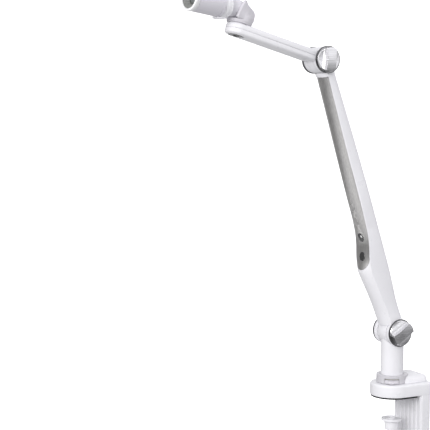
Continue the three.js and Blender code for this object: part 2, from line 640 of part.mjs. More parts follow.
function buildCameraHead(head) {
  const end = HEAD.reach;
  const inner = BARREL.radius - BARREL.wall - GAP;
  add(head, 'head_knuckle', knuckle(), PALE_GREY);
  add(head, 'barrel_shell', barrelShell(), PALE_GREY);
  add(head, 'lens_bezel', barrelTurned([
    [inner, end - 12], [inner, end - 6.7], [14.2, end - 6.7], [BARREL.bezel, end - 2], [BARREL.bezel - 0.5, end],
    [12.4, end], [11.6, end - 1.2], [10.2, end - 12], [inner, end - 12],
  ]), WHITE);
  add(head, 'lens_hood', barrelTurned([
    [9.9, end - 11.5], [11.2, end - 1.9], [10.6, end - 1.9], [6.2, end - 7], [6.2, end - 11.5], [9.9, end - 11.5],
  ]), DARK);
  add(head, 'lens_glass', barrelTurned([
    [0, end - 11], [5.9, end - 11], [5.9, end - 8.4], [4, end - 7.6], [0, end - 7.2],
  ], 28), GLASS);
  add(head, 'lens_barrel', barrelTurned([
    [0, end - 28], [9.6, end - 28], [9.6, end - 12.3], [7, end - 12.3], [7, end - 14], [0, end - 14],
  ], 28), BLACK);
  add(head, 'sensor_board', barrelTurned([
    [0, end - 30.4], [11.6, end - 30.4], [11.6, end - 28.8], [0, end - 28.8],
  ], 24), BOARD);
}

// ----------------------------------------------------------------- assembly
const camera = new THREE.Group();
buildClamp(camera);
buildClampScrew(camera);
buildPost(camera);

const lowerArm = group(camera, [0, 0, SHOULDER_HEIGHT], [0, -LOWER_ARM.lean, 0]);
buildLowerArm(lowerArm);
buildButtons(lowerArm);
add(lowerArm, 'shoulder_knob', gripKnob(SHOULDER.knob, SHOULDER.rim, -SHOULDER.cheekOut - GAP,
  GRIP_TURN.shoulder + LOWER_ARM.lean, SHOULDER.bolt, 15), SILVER);

const upperArm = group(lowerArm, [0, 0, LOWER_ARM.length], [0, LOWER_ARM.lean + UPPER_ARM.rise, 0]);
buildUpperArm(upperArm);
add(upperArm, 'elbow_knob', gripKnob(ELBOW.knob, ELBOW.rim, -ELBOW.cheekOut - GAP,
  GRIP_TURN.elbow - UPPER_ARM.rise, ELBOW.bolt, 13.2), SILVER);

const headBase = group(upperArm, [-UPPER_ARM.reach, 0, SEAT], [0, 0, HEAD.turn]);
buildCradle(headBase);
const headTilt = group(headBase, [HEAD.tiltX, 0, HEAD.tiltZ], [0, HEAD.dip, 0]);
buildCameraHead(headTilt);
add(headTilt, 'focus_ring', focusRing(), WHITE);

export default camera;
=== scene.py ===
"""A desk-clamp document camera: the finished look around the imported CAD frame.

Each piece is built in millimetres in the space of the joint that carries it, then
scaled into the frame's metres. Spaces and joint places come from the frame.
"""
import json
import math

import bmesh
import bpy
from mathutils import Matrix, Vector


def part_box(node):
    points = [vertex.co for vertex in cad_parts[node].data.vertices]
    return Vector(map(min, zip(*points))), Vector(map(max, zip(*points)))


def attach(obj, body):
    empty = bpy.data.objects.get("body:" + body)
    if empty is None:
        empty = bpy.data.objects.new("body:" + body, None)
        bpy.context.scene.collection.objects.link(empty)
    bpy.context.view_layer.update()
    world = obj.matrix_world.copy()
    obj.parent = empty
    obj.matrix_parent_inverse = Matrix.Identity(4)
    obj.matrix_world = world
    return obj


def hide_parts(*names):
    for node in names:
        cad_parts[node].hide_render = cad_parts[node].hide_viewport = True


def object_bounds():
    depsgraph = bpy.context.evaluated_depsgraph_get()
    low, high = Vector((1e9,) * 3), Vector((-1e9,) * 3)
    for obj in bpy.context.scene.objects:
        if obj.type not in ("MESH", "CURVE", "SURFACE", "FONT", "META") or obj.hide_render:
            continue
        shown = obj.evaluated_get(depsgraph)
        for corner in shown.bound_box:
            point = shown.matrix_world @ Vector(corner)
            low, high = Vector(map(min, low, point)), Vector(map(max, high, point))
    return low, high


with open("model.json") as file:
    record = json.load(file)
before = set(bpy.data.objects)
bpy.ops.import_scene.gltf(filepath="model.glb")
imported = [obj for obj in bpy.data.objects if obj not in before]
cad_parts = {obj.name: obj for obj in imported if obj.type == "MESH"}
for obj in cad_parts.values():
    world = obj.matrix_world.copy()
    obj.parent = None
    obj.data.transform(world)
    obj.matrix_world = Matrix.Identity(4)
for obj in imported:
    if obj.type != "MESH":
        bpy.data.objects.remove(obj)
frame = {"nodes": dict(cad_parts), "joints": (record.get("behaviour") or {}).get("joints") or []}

cad_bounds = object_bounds()

# ---------------------------------------- spaces
JOINTS = {j["name"]: j for j in frame["joints"]}
MM = 0.001
GAP = 0.3  # clearance between neighbouring pieces, in millimetres
TO_METRES = Matrix.Scale(MM, 4)


def joint_place(name):
    return Vector(JOINTS[name]["pos_m"])


def joint_axis(name):
    return Vector(JOINTS[name]["axis"]).normalized()


def spin(angle, axis):
    return Matrix.Rotation(angle, 4, axis)


SHOULDER, ELBOW = joint_place("shoulder_tilt"), joint_place("elbow_fold")
SWIVEL, TILT = joint_place("head_swivel"), joint_place("head_tilt")
# Angles at rest: the lower arm's lean, the upper arm's rise, the head's turn and the barrel's dip.
LEAN = math.atan2(SHOULDER.x - ELBOW.x, ELBOW.z - SHOULDER.z)
RISE = math.atan2(joint_axis("head_swivel").x, joint_axis("head_swivel").z)
_tilt_axis = spin(-RISE, "Y") @ joint_axis("head_tilt")
TURN = math.atan2(-_tilt_axis.x, _tilt_axis.y)
_ahead = spin(-TURN, "Z") @ spin(-RISE, "Y") @ joint_axis("focus_turn")
DIP = math.atan2(_ahead.z, -_ahead.x)
ARM_LENGTH = (ELBOW - SHOULDER).length / MM
SEAT = (spin(-RISE, "Y") @ (SWIVEL - ELBOW)).z / MM
REACH = -(spin(-RISE, "Y") @ (SWIVEL - ELBOW)).x / MM
TILT_OFFSET = (spin(-TURN, "Z") @ spin(-RISE, "Y") @ (TILT - SWIVEL)) / MM

BASE = TO_METRES
LOWER = Matrix.Translation(SHOULDER) @ spin(-LEAN, "Y") @ TO_METRES
UPPER = Matrix.Translation(ELBOW) @ spin(RISE, "Y") @ TO_METRES
CRADLE = Matrix.Translation(SWIVEL) @ spin(RISE, "Y") @ spin(TURN, "Z") @ TO_METRES
# In the barrel's space +Z is distance ahead of the swivel axis and +X is up.
BARREL = (Matrix.Translation(TILT) @ spin(RISE, "Y") @ spin(TURN, "Z") @ spin(DIP, "Y") @ TO_METRES
          @ Matrix.Translation((-TILT_OFFSET.x, 0, 0)) @ spin(-math.pi / 2, "Y"))


def outward(place, angle):
    """A space whose +Z points out of a joint on the knob side (-Y), turned by angle about Y."""
    return Matrix.Translation(place) @ spin(angle, "Y") @ spin(math.pi / 2, "X") @ TO_METRES


def inward(place):
    """A space whose +Z points out of a joint on the far side (+Y)."""
    return Matrix.Translation(place) @ spin(-math.pi / 2, "X") @ TO_METRES


# ------------------------------------ mesh tools
def made(bm):
    bmesh.ops.remove_doubles(bm, verts=bm.verts, dist=1e-4)
    bmesh.ops.recalc_face_normals(bm, faces=bm.faces)
    mesh = bpy.data.meshes.new("part")
    bm.to_mesh(mesh)
    bm.free()
    solid = bpy.data.objects.new("part", mesh)
    bpy.context.scene.collection.objects.link(solid)
    return solid


def arc(x, y, radius, start, end, steps=16):
    """Points of an arc, angles in degrees."""
    out = []
    for i in range(steps + 1):
        a = math.radians(start + (end - start) * i / steps)
        out.append(Vector((x + radius * math.cos(a), y + radius * math.sin(a))))
    return out


def spread(start, end, step):
    """Even values from start to end, about a step apart."""
    count = max(1, round((end - start) / step))
    return [start + (end - start) * i / count for i in range(count + 1)]


def fillet(points, radius, closed=False, steps=4):
    """The same path with every corner rounded; radius is one number or one per point."""
    points = [Vector(p) for p in points]
    count = len(points)
    radii = radius if isinstance(radius, (list, tuple)) else [radius] * count
    out = []
    for i, here in enumerate(points):
        before, after = points[i - 1], points[(i + 1) % count]
        back, ahead = before - here, after - here
        end = not closed and i in (0, count - 1)
        if end or radii[i] <= 0 or back.length < 1e-6 or ahead.length < 1e-6:
            out.append(here)
            continue
        angle = back.angle(ahead)
        if angle > math.radians(172):
            out.append(here)
            continue
        reach = min(radii[i] / math.tan(angle / 2), back.length * 0.46, ahead.length * 0.46)
        start, stop = here + back.normalized() * reach, here + ahead.normalized() * reach
        for k in range(steps + 1):
            t = k / steps
            out.append((1 - t) ** 2 * start + 2 * t * (1 - t) * here + t * t * stop)
    return out


def lathe(profile, ease=0.0, segments=80):
    """Turns (radius, height) pairs about Z. The profile starts and ends on the axis, or closes."""
    loop = Vector(profile[0]) == Vector(profile[-1])
    profile = fillet(profile[:-1] if loop else profile, ease, loop)
    bm = bmesh.new()
    rings = []
    for r, h in profile:
        if r < 1e-6:
            rings.append([bm.verts.new((0, 0, h))])
            continue
        rings.append([bm.verts.new((r * math.cos(a), r * math.sin(a), h))
                      for a in (2 * math.pi * i / segments for i in range(segments))])
    for low, high in zip(rings, rings[1:] + rings[:1] if loop else rings[1:]):
        for i in range(segments):
            j = (i + 1) % segments
            corners = [low[i % len(low)], low[j % len(low)], high[j % len(high)], high[i % len(high)]]
            distinct = list(dict.fromkeys(corners))
            if len(distinct) > 2:
                bm.faces.new(distinct)
    return made(bm)


def skin(rings):
    """A closed solid through rings of equal point count."""
    bm = bmesh.new()
    rows = [[bm.verts.new(p) for p in ring] for ring in rings]
    for low, high in zip(rows, rows[1:]):
        for i in range(len(low)):
            j = (i + 1) % len(low)
            bm.faces.new((low[i], low[j], high[j], high[i]))
    bm.faces.new(rows[0])
    bm.faces.new(rows[-1][::-1])
    return made(bm)


def inset(outline, amount):
    """A closed counter-clockwise outline moved inwards."""
    if abs(amount) < 1e-9:
        return outline
    out = []
    count = len(outline)
    for i, here in enumerate(outline):
        a = (here - outline[i - 1]).normalized()
        b = (outline[(i + 1) % count] - here).normalized()
        left_a, left_b = Vector((-a.y, a.x)), Vector((-b.y, b.x))
        mid = left_a + left_b
        mid = mid.normalized() if mid.length > 1e-6 else left_a
        out.append(here + mid * (amount / max(mid.dot(left_a), 0.35)))
    return out


def slab(outline, z0, z1, bottom=0.0, top=0.0, steps=4):
    """A flat outline raised along Z, with rounded bottom and top edges."""
    outline = [Vector(p) for p in outline]
    area = sum(a.x * b.y - b.x * a.y for a, b in zip(outline, outline[1:] + outline[:1]))
    if area < 0:
        outline.reverse()
    layers = []
    for k in range(steps + 1):
        a = math.pi / 2 * k / steps
        layers.append((bottom * (1 - math.sin(a)), z0 + bottom * (1 - math.cos(a))))
        if bottom == 0:
            break
    for k in range(steps + 1):
        a = math.pi / 2 * (1 - k / steps)
        layers.append((top * (1 - math.sin(a)), z1 - top * (1 - math.cos(a))))
        if top == 0:
            break
    if top == 0:
        layers[-1] = (0.0, z1)
    return skin([[Vector((p.x, p.y, z)) for p in inset(outline, d)] for d, z in layers])


def block(x0, x1, y0, y1, z0, z1):
    return slab([(x0, y0), (x1, y0), (x1, y1), (x0, y1)], z0, z1)


def rod(radius, z0, z1, segments=64):
    return slab(arc(0, 0, radius, 0, 360, segments)[:-1], z0, z1)


def moved(solid, matrix):
    solid.data.transform(matrix)
    return solid


def rod_y(radius, y0, y1, segments=64):
    return moved(rod(radius, y0, y1, segments), spin(-math.pi / 2, "X"))


def settle(solid):
    """Applies the modifiers of a solid."""
    graph = bpy.context.evaluated_depsgraph_get()
    mesh = bpy.data.meshes.new_from_object(solid.evaluated_get(graph), depsgraph=graph)
    solid.modifiers.clear()
    solid.data = mesh
    return solid


def combine(operation, base, *tools):
    for tool in tools:
        step = base.modifiers.new("combine", "BOOLEAN")
        step.operation = operation
        step.solver = "EXACT"
        step.object = tool
        settle(base)
        bpy.data.objects.remove(tool)
    return base


def union(base, *tools):
    return combine("UNION", base, *tools)


def cut(base, *tools):
    return combine("DIFFERENCE", base, *tools)


def common(base, *tools):
    return combine("INTERSECT", base, *tools)


def eased(solid, width, angle=38):
    """Rounds the sharp edges of a solid."""
    step = solid.modifiers.new("ease", "BEVEL")
    step.width = width
    step.segments = 2
    step.limit_method = "ANGLE"
    step.angle_limit = math.radians(angle)
    step.use_clamp_overlap = True
    return settle(solid)


def finish_piece(solid, name, space, body, material, *nodes):
    """Places a solid in its space, shades it, gives it its material and puts it on its body."""
    mesh = solid.data
    mesh.transform(space)
    mesh.update()
    mesh.materials.clear()
    mesh.materials.append(material)
    mesh.polygons.foreach_set("use_smooth", [True] * len(mesh.polygons))
    mesh.polygons.foreach_set("material_index", [0] * len(mesh.polygons))
    mesh.set_sharp_from_angle(angle=math.radians(32))
    solid.name = name
    mesh.name = name
    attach(solid, body)
    if nodes:
        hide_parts(*nodes)
    return solid


class Nodes:
    """A short way to build one material's node tree."""

    def __init__(self, name, slot_name):
        self.material = bpy.data.materials.new(name)
        self.material.use_nodes = True
        self.tree = self.material.node_tree
        self.tree.nodes.clear()
        self.shader = self.add("ShaderNodeBsdfPrincipled")
        output = self.add("ShaderNodeOutputMaterial")
        self.join(self.shader.outputs[0], output.inputs[0])
        self.place = self.add("ShaderNodeTexCoord").outputs["Object"]

    def add(self, kind):
        return self.tree.nodes.new(kind)

    def join(self, source, target):
        self.tree.links.new(source, target)

    def noise(self, scale, detail, stretch=None):
        source = self.place
        if stretch:
            mapping = self.add("ShaderNodeMapping")
            mapping.inputs["Scale"].default_value = stretch
            self.join(self.place, mapping.inputs["Vector"])
            source = mapping.outputs[0]
        node = self.add("ShaderNodeTexNoise")
        node.inputs["Scale"].default_value = scale
        node.inputs["Detail"].default_value = detail
        self.join(source, node.inputs["Vector"])
        return node.outputs[0]

    def ranged(self, value, low, high):
        """Spreads the middle of a noise over low to high."""
        node = self.add("ShaderNodeMapRange")
        node.inputs["From Min"].default_value = 0.3
        node.inputs["From Max"].default_value = 0.7
        node.inputs["To Min"].default_value = low
        node.inputs["To Max"].default_value = high
        self.join(value, node.inputs["Value"])
        return node.outputs[0]

    def blend(self, factor, first, second):
        ramp = self.add("ShaderNodeValToRGB")
        ramp.color_ramp.elements[0].position = 0.35
        ramp.color_ramp.elements[0].color = (*first, 1)
        ramp.color_ramp.elements[1].position = 0.65
        ramp.color_ramp.elements[1].color = (*second, 1)
        self.join(factor, ramp.inputs[0])
        return ramp.outputs[0]

    def bump(self, height, strength, distance):
        node = self.add("ShaderNodeBump")
        node.inputs["Strength"].default_value = strength
        node.inputs["Distance"].default_value = distance
        self.join(height, node.inputs["Height"])
        self.join(node.outputs[0], self.shader.inputs["Normal"])

    def set(self, **values):
        for key, value in values.items():
            self.shader.inputs[key.replace("_", " ")].default_value = value


def scaled(color, factor):
    return tuple(min(1.0, c * factor) for c in color)


def moulded(name, slot_name, color, roughness, grain=1.0, coat=0.0, ior=1.5, shine=0.5):
    """Moulded plastic: a faint spark-eroded grain, slight cloudiness and handling marks."""
    n = Nodes(name, slot_name)
    cloud = n.noise(22, 3)
    n.join(n.blend(cloud, scaled(color, 0.975), scaled(color, 1.02)), n.shader.inputs["Base Color"])
    handled = n.noise(75, 4)
    n.join(n.ranged(handled, roughness - 0.05, roughness + 0.07), n.shader.inputs["Roughness"])
    n.bump(n.noise(2600, 3), 0.10 * grain, 0.00006)
    n.set(IOR=ior, Specular_IOR_Level=shine)
    if coat:
        n.set(Coat_Weight=coat, Coat_Roughness=0.08)
    return n.material


def metal(name, slot_name, color, roughness, stretch, grain=0.25, metallic=1.0):
    """Machined or brushed metal: fine lines along one direction and uneven polish."""
    n = Nodes(name, slot_name)
    lines = n.noise(900, 4, stretch)
    n.join(n.blend(lines, scaled(color, 0.88), scaled(color, 1.06)), n.shader.inputs["Base Color"])
    n.join(n.ranged(n.noise(120, 3), roughness - 0.05, roughness + 0.08), n.shader.inputs["Roughness"])
    n.bump(lines, grain, 0.00004)
    n.set(Metallic=metallic)
    return n.material


def rubber(name, slot_name, color):
    n = Nodes(name, slot_name)
    n.join(n.blend(n.noise(60, 5), scaled(color, 0.7), scaled(color, 1.6)), n.shader.inputs["Base Color"])
    n.bump(n.noise(1500, 4), 0.5, 0.0001)
    n.set(Roughness=0.78)
    return n.material


def glass(name, slot_name, color):
    n = Nodes(name, slot_name)
    n.join(n.blend(n.noise(30, 2), scaled(color, 0.92), scaled(color, 1.05)), n.shader.inputs["Base Color"])
    n.join(n.ranged(n.noise(160, 4), 0.02, 0.05), n.shader.inputs["Roughness"])
    n.set(IOR=1.52, Transmission_Weight=0.3, Coat_Weight=0.6, Coat_Roughness=0.03)
    return n.material


def board(name, slot_name, color):
    n = Nodes(name, slot_name)
    tracks = n.add("ShaderNodeTexBrick")
    tracks.inputs["Scale"].default_value = 260
    n.join(n.place, tracks.inputs["Vector"])
    tracks.inputs["Color1"].default_value = (*scaled(color, 0.8), 1)
    tracks.inputs["Color2"].default_value = (*scaled(color, 1.3), 1)
    tracks.inputs["Mortar"].default_value = (*scaled(color, 0.5), 1)
    n.join(tracks.outputs["Color"], n.shader.inputs["Base Color"])
    n.bump(tracks.outputs["Fac"], 0.3, 0.00005)
    n.set(Roughness=0.35)
    return n.material


WHITE = moulded("white_plastic", "white_shell", (0.86, 0.855, 0.885), 0.30)
PALE = moulded("pale_grey_plastic", "pale_grey_shell", (0.72, 0.705, 0.755), 0.34)
GREY = moulded("grey_plastic", "grey_shell", (0.655, 0.638, 0.68), 0.38)
COLLAR = moulded("collar_plastic", "pale_grey_shell", (0.61, 0.60, 0.63), 0.36)
BEZEL = moulded("bezel_plastic", "white_shell", (0.93, 0.93, 0.94), 0.22, coat=0.3)
DARK = moulded("dark_plastic", "dark_shell", (0.085, 0.085, 0.092), 0.42)
HOOD = moulded("hood_plastic", "dark_shell", (0.235, 0.24, 0.23), 0.5, 3.0)
BLACK = moulded("black_plastic", "black_shell", (0.02, 0.02, 0.022), 0.16, coat=0.5)
NYLON = moulded("natural_nylon", "nylon", (0.72, 0.70, 0.64), 0.5)
PANEL = metal("panel_lacquer", "panel_grey", (0.74, 0.73, 0.72), 0.34, (1, 1, 0.04), 0.03, 0.9)
GLOSS = moulded("key_gloss", "black_shell", (0.02, 0.02, 0.022), 0.10, coat=1.0, ior=2.0, shine=0.9)
KEY = metal("key_lacquer", "panel_grey", (0.46, 0.455, 0.45), 0.5, (1, 1, 0.04), 0.03, 0.4)
SILVER = metal("knob_silver", "silver_knob", (0.90, 0.895, 0.915), 0.17, (0.05, 1, 1), 0.12)
# Dark metal used as painted shade: the knob's rim band and bar ends stand in for the shadowed gap round the
# rim.
KNOB_SHADE = metal("knob_edge_painted_shade", "silver_knob", (0.15, 0.15, 0.155), 0.35, (1, 0.05, 1), 0.2)
STEEL = metal("plated_steel", "plated_steel", (0.55, 0.56, 0.58), 0.30, (1, 1, 0.08))
BRASS = metal("machined_brass", "brass", (0.62, 0.47, 0.20), 0.28, (1, 1, 0.08))
RUBBER = rubber("soft_rubber", "rubber", (0.012, 0.012, 0.013))
BOARD = board("circuit_board", "circuit_board", (0.02, 0.14, 0.06))
LENS = glass("lens_glass", "lens_glass", (0.22, 0.235, 0.23))


# ----------------------------------------- clamp
JAW_RADIUS, JAW_BACK, JAW_FLARE, JAW_BOTTOM, JAW_TOP = 28.0, 46.0, 1.3, 2.1, 17.8
WEB_INNER, WEB_BACK, WEB_HALF, FOOT, LOWER_JAW_TOP = 26.1, 41.1, 28.8, -86.0, -72.0
LOWER_NOSE, LOWER_ROOT = 17.0, 22.0  # lower jaw: nose radius, half width at the web
RIB_COUNT, RIB_DEPTH, RIB_HALF, RIB_BOTTOM = 7, 0.8, 1.5, -70.0
PAD_RADIUS, PAD_BACK, PAD_THICK = 26.9, 22.7, 1.8
NUT_POCKET, PIVOT_HOLE, PIVOT_HEAD = 9.3, 3.2, 6.2
BORE, COLLAR_RADIUS, COLLAR_TOP = 16.9, 20.0, 28.6
LATCH_HALF, LATCH_LOW, LATCH_HIGH = 8.9, 18.9, 23.4
POST_RADIUS, POST_WALL, POST_BOTTOM = 14.6, 2.5, 8.1
SHOULDER_Z = SHOULDER.z / MM
_press = joint_axis("latch_press")
LATCH_AZIMUTH = math.atan2(-_press.y, -_press.x)


def jaw_outline(radius, back, corner, flare):
    """A round nose about the post axis, then sides that spread by flare towards the back."""
    side = radius + flare
    return (arc(back - corner, side - corner, corner, 0, 90, 10)
            + arc(0, 0, radius, 90, 270, 64)
            + arc(back - corner, -side + corner, corner, 270, 360, 10))


def clamp_frame():
    jaw = slab(jaw_outline(JAW_RADIUS, JAW_BACK, 8, JAW_FLARE), JAW_BOTTOM, JAW_TOP, 1.0, 2.6, 6)
    web_plan = fillet([(WEB_INNER, -WEB_HALF), (WEB_BACK, -WEB_HALF),
                       (WEB_BACK, WEB_HALF), (WEB_INNER, WEB_HALF)], [1.6, 4, 4, 1.6], True, 5)
    web = slab(web_plan, FOOT, JAW_BOTTOM + 3, 2.0, 0)
    nose = arc(0, 0, LOWER_NOSE, 75.6, 284.4, 40)
    lower_plan = ([(WEB_INNER + 6, -LOWER_ROOT), (WEB_INNER + 6, LOWER_ROOT), (WEB_INNER - 4, LOWER_ROOT)]
                  + nose + [(WEB_INNER - 4, -LOWER_ROOT)])
    lower = slab(lower_plan, FOOT, LOWER_JAW_TOP, 1.5, 2.0)
    ribs = []
    side = WEB_HALF - 4
    for y in spread(-side, side, 2 * side / (RIB_COUNT - 1)):
        plan = fillet([(WEB_INNER - RIB_DEPTH, y - RIB_HALF), (WEB_INNER + 1, y - RIB_HALF),
                       (WEB_INNER + 1, y + RIB_HALF), (WEB_INNER - RIB_DEPTH, y + RIB_HALF)],
                      [0.6, 0, 0, 0.6], True)
        ribs.append(slab(plan, RIB_BOTTOM, 1))
    body = union(jaw, web, lower, *ribs)
    hexagon = rod(NUT_POCKET, FOOT - 1, LOWER_JAW_TOP + 1, 6)
    return cut(body, rod(BORE, 7.5, JAW_TOP + 5, 96), rod(PIVOT_HOLE, 0, 8.5), rod(PIVOT_HEAD, 0, 5.2),
               hexagon)


def socket_collar():
    """The ring round the post foot, with a thin lip over the bush and a window for the latch."""
    bottom, lip, eye = JAW_TOP + GAP, COLLAR_TOP - 0.9, POST_RADIUS + 0.4
    ring = lathe([(BORE, bottom), (COLLAR_RADIUS, bottom), (COLLAR_RADIUS, COLLAR_TOP), (eye, COLLAR_TOP),
                  (eye, lip), (BORE, lip), (BORE, bottom)], 0.6, 128)
    window = moved(block(8, 25, -LATCH_HALF - GAP, LATCH_HALF + GAP, LATCH_LOW - GAP, LATCH_HIGH + 1.6),
                   spin(LATCH_AZIMUTH, "Z"))
    return eased(cut(ring, window), 0.25)


def latch():
    """The press tab: a curved plate with a rounded tongue below its middle and a grip line."""
    turned = spin(LATCH_AZIMUTH, "Z")
    inner, outer, side = 17.7, COLLAR_RADIUS + 0.6, LATCH_HALF - 1.5
    plate = lathe([(inner, LATCH_LOW), (outer, LATCH_LOW), (outer, LATCH_HIGH), (inner, LATCH_HIGH),
                   (inner, LATCH_LOW)], 0.4, 128)
    sector = moved(block(8, 25, -LATCH_HALF, LATCH_HALF, LATCH_LOW - 1, LATCH_HIGH + 1), turned)
    groove = moved(block(COLLAR_RADIUS + 0.1, 25, -side, side, LATCH_HIGH - 1.5, LATCH_HIGH - 0.9), turned)
    tongue_plan = arc(COLLAR_RADIUS - 0.4, 0, 4.6, 0, 360, 48)[:-1]
    tongue = moved(slab(tongue_plan, LATCH_LOW, LATCH_LOW + 1.2, 0.2, 0.6), turned)
    body = cut(common(plate, sector), groove)
    return eased(union(body, cut(tongue, rod(18.5, 0, 40, 64))), 0.15)


BOSS_BACK, BOSS_CORNER, BOSS_HALF, BOSS_TOP, BOSS_ROUND = 44.5, 10.0, 21.5, 27.0, 7.0
PORT_LOW, PORT_HIGH, PORT_HALF = 21.0, 24.0, 4.4


def rear_boss():
    middle, half = BOSS_BACK - BOSS_CORNER, BOSS_HALF - BOSS_CORNER
    plan = ([(6, -BOSS_HALF)] + arc(middle, -half, BOSS_CORNER, -90, 0, 12)
            + arc(middle, half, BOSS_CORNER, 0, 90, 12) + [(6, BOSS_HALF)])
    body = slab(plan, JAW_TOP + GAP, BOSS_TOP, 0, BOSS_ROUND, 10)
    side = PORT_HALF + GAP
    socket = block(BOSS_BACK - 8.2, BOSS_BACK + 5, -side, side, PORT_LOW - GAP, PORT_HIGH + GAP)
    return eased(cut(body, rod(COLLAR_RADIUS + GAP, 0, 40, 128), socket), 0.2)


def data_port():
    front, back = BOSS_BACK - 7.9, BOSS_BACK - 0.2
    wall = 0.5
    side = PORT_HALF - wall
    plan = fillet([(front, -PORT_HALF), (back, -PORT_HALF), (back, PORT_HALF), (front, PORT_HALF)], 0.2, True)
    mouth = block(front + 1.7, back + 8, -side, side, PORT_LOW + wall, PORT_HIGH - wall)
    return eased(cut(slab(plan, PORT_LOW, PORT_HIGH, 0.3, 0.3), mouth), 0.1)


def pressure_pad(top):
    """The dished disc under the table, on its swivel socket."""
    return lathe([(0, top - 1.2), (2.6, top - 1.2), (3.0, top), (4.4, top), (5.3, top - 1.6), (8, top - 2.4),
                  (11.2, top - 1.6), (12.2, top),
                  (13.1, top - 0.5), (13.1, top - 3.2), (9.2, top - 5), (8.8, top - 9), (8.8, top - 15),
                  (6.2, top - 15), (6.2, top - 8), (0, top - 8)], 0.5, 96)


def threaded_spindle(top, bottom, radius=5.0, depth=0.75, pitch=3.0):
    """The clamp screw: a smooth swivel end, then a helical thread down to a chamfer."""
    around, per_pitch = 40, 8
    start, stop = top - 12.6, bottom + 2
    rows = [[(0.001, top - 8.4)] * around, [(5.8, top - 8.4)] * around, [(5.8, top - 12)] * around]
    count = int((start - stop) / pitch * per_pitch)
    for k in range(count + 1):
        z = start - (start - stop) * k / count
        ease = min(1.0, 3 * k / count, 3 * (count - k) / count)
        row = []
        for i in range(around):
            phase = (z / pitch + i / around) % 1.0
            groove = 0.5 - 0.5 * math.cos(2 * math.pi * phase)
            row.append((radius - depth * ease * groove, z))
        rows.append(row)
    rows += [[(radius - 1, bottom)] * around, [(0.001, bottom)] * around]
    turns = [2 * math.pi * i / around for i in range(around)]
    return skin([[Vector((r * math.cos(a), r * math.sin(a), z)) for a, (r, z) in zip(turns, row)]
                 for row in rows])


def clamp_knob(top):
    """A three-lobed hand knob with rounded edges."""
    hub = slab(arc(0, 0, 15, 0, 360, 72)[:-1], top - 14, top, 2.2, 2.2, 5)
    lobes = []
    for i in range(3):
        lobe = slab(arc(13, 0, 8, 0, 360, 48)[:-1], top - 13, top - 1, 2.0, 2.0, 5)
        lobes.append(moved(lobe, spin(i * 2 * math.pi / 3, "Z")))
    return cut(union(hub, *lobes), rod(5.3, top - 8, top + 2))


def build_clamp():
    finish_piece(clamp_frame(), "clamp_body", BASE, "clamp", WHITE, "clamp_frame")
    pad = slab(jaw_outline(PAD_RADIUS, PAD_BACK, 4, 0.7), 0, PAD_THICK, 0.4, 0.3)
    finish_piece(pad, "jaw_pad", BASE, "clamp", RUBBER, "jaw_rubber_pad")
    inner, outer, low, high = POST_RADIUS + GAP, BORE - GAP, 7.8, 27.4
    bush = lathe([(inner, low), (outer, low), (outer, high), (inner, high), (inner, low)], 0.4)
    finish_piece(bush, "post_bearing", BASE, "clamp", NYLON, "post_bush")
    finish_piece(socket_collar(), "collar_ring", BASE, "clamp", COLLAR, "socket_collar")
    finish_piece(rear_boss(), "boss_cover", BASE, "clamp", WHITE, "rear_boss")
    finish_piece(data_port(), "port_shell", BASE, "clamp", STEEL, "data_port")
    finish_piece(latch(), "latch_tab", BASE, "swivel_latch", GREY, "swivel_latch")
    pad_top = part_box("pressure_pad")[1].z / MM
    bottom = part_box("clamp_screw")[0].z / MM
    finish_piece(pressure_pad(pad_top), "pressure_disc", BASE, "pressure_foot", WHITE, "pressure_pad")
    spindle = threaded_spindle(pad_top, bottom)
    finish_piece(spindle, "screw_spindle", BASE, "clamp_screw", STEEL, "clamp_screw")
    knob_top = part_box("clamp_screw_knob")[1].z / MM
    finish_piece(clamp_knob(knob_top), "screw_hand_knob", BASE, "clamp_screw", WHITE, "clamp_screw_knob")


# ------------------------------------------ post
EYE_RADIUS, EYE_HALF, CHEEK_IN, CHEEK_OUT, CHEEK_LIP, SHOULDER_BOLT = 16.8, 8.4, 9.6, 15.3, 1.3, 4.0
PLUG_BOTTOM, SHOULDER_NUT = 52.0, 7.3


def post_tube():
    inner = POST_RADIUS - POST_WALL
    tube = lathe([(inner, POST_BOTTOM), (POST_RADIUS, POST_BOTTOM), (POST_RADIUS, SHOULDER_Z),
                  (inner, SHOULDER_Z), (inner, POST_BOTTOM)], 0.3, 128)
    tools = [rod_y(EYE_RADIUS + GAP, -20, 20, 96)]
    tools += [rod_y(EYE_RADIUS + 1 + GAP, *sorted((side * (CHEEK_OUT - CHEEK_LIP - GAP), side * 20)), 96)
              for side in (1, -1)]
    return cut(tube, *[moved(tool, Matrix.Translation((0, 0, SHOULDER_Z))) for tool in tools])


def post_head():
    up = Matrix.Translation((0, 0, SHOULDER_Z))
    plug = rod(POST_RADIUS - POST_WALL - GAP, PLUG_BOTTOM, SHOULDER_Z, 64)
    eye = moved(rod_y(EYE_RADIUS, -EYE_HALF, EYE_HALF, 128), up)
    near = moved(rod_y(EYE_RADIUS + GAP, EYE_HALF, 20, 96), up)
    far = moved(rod_y(EYE_RADIUS + GAP, -20, -EYE_HALF, 96), up)
    bore = moved(rod_y(SHOULDER_BOLT + GAP, -20, 20, 48), up)
    return eased(cut(union(plug, eye), near, far, bore), 0.4)


def build_post():
    finish_piece(post_tube(), "post_sleeve", BASE, "post", WHITE, "post_tube")
    finish_piece(post_head(), "post_eye", BASE, "post", WHITE, "post_head")


# ----------------------------------------- knobs
GRIP_RISE, GRIP_FALL = 7.8, 1.1  # height of the bar above the rim, fall of its crown towards the edge
# Each hollow beside the bar has a superellipse section.
HOLLOW_RADIUS, HOLLOW_ASIDE, HOLLOW_LENGTH, HOLLOW_POWER = 12.0, 18.0, 36.0, 3.2


def soft_min(a, b, reach):
    """The lower of two heights, with the crease between them rounded."""
    near = max(reach - abs(a - b), 0) / reach
    return min(a, b) - near * near * reach / 4


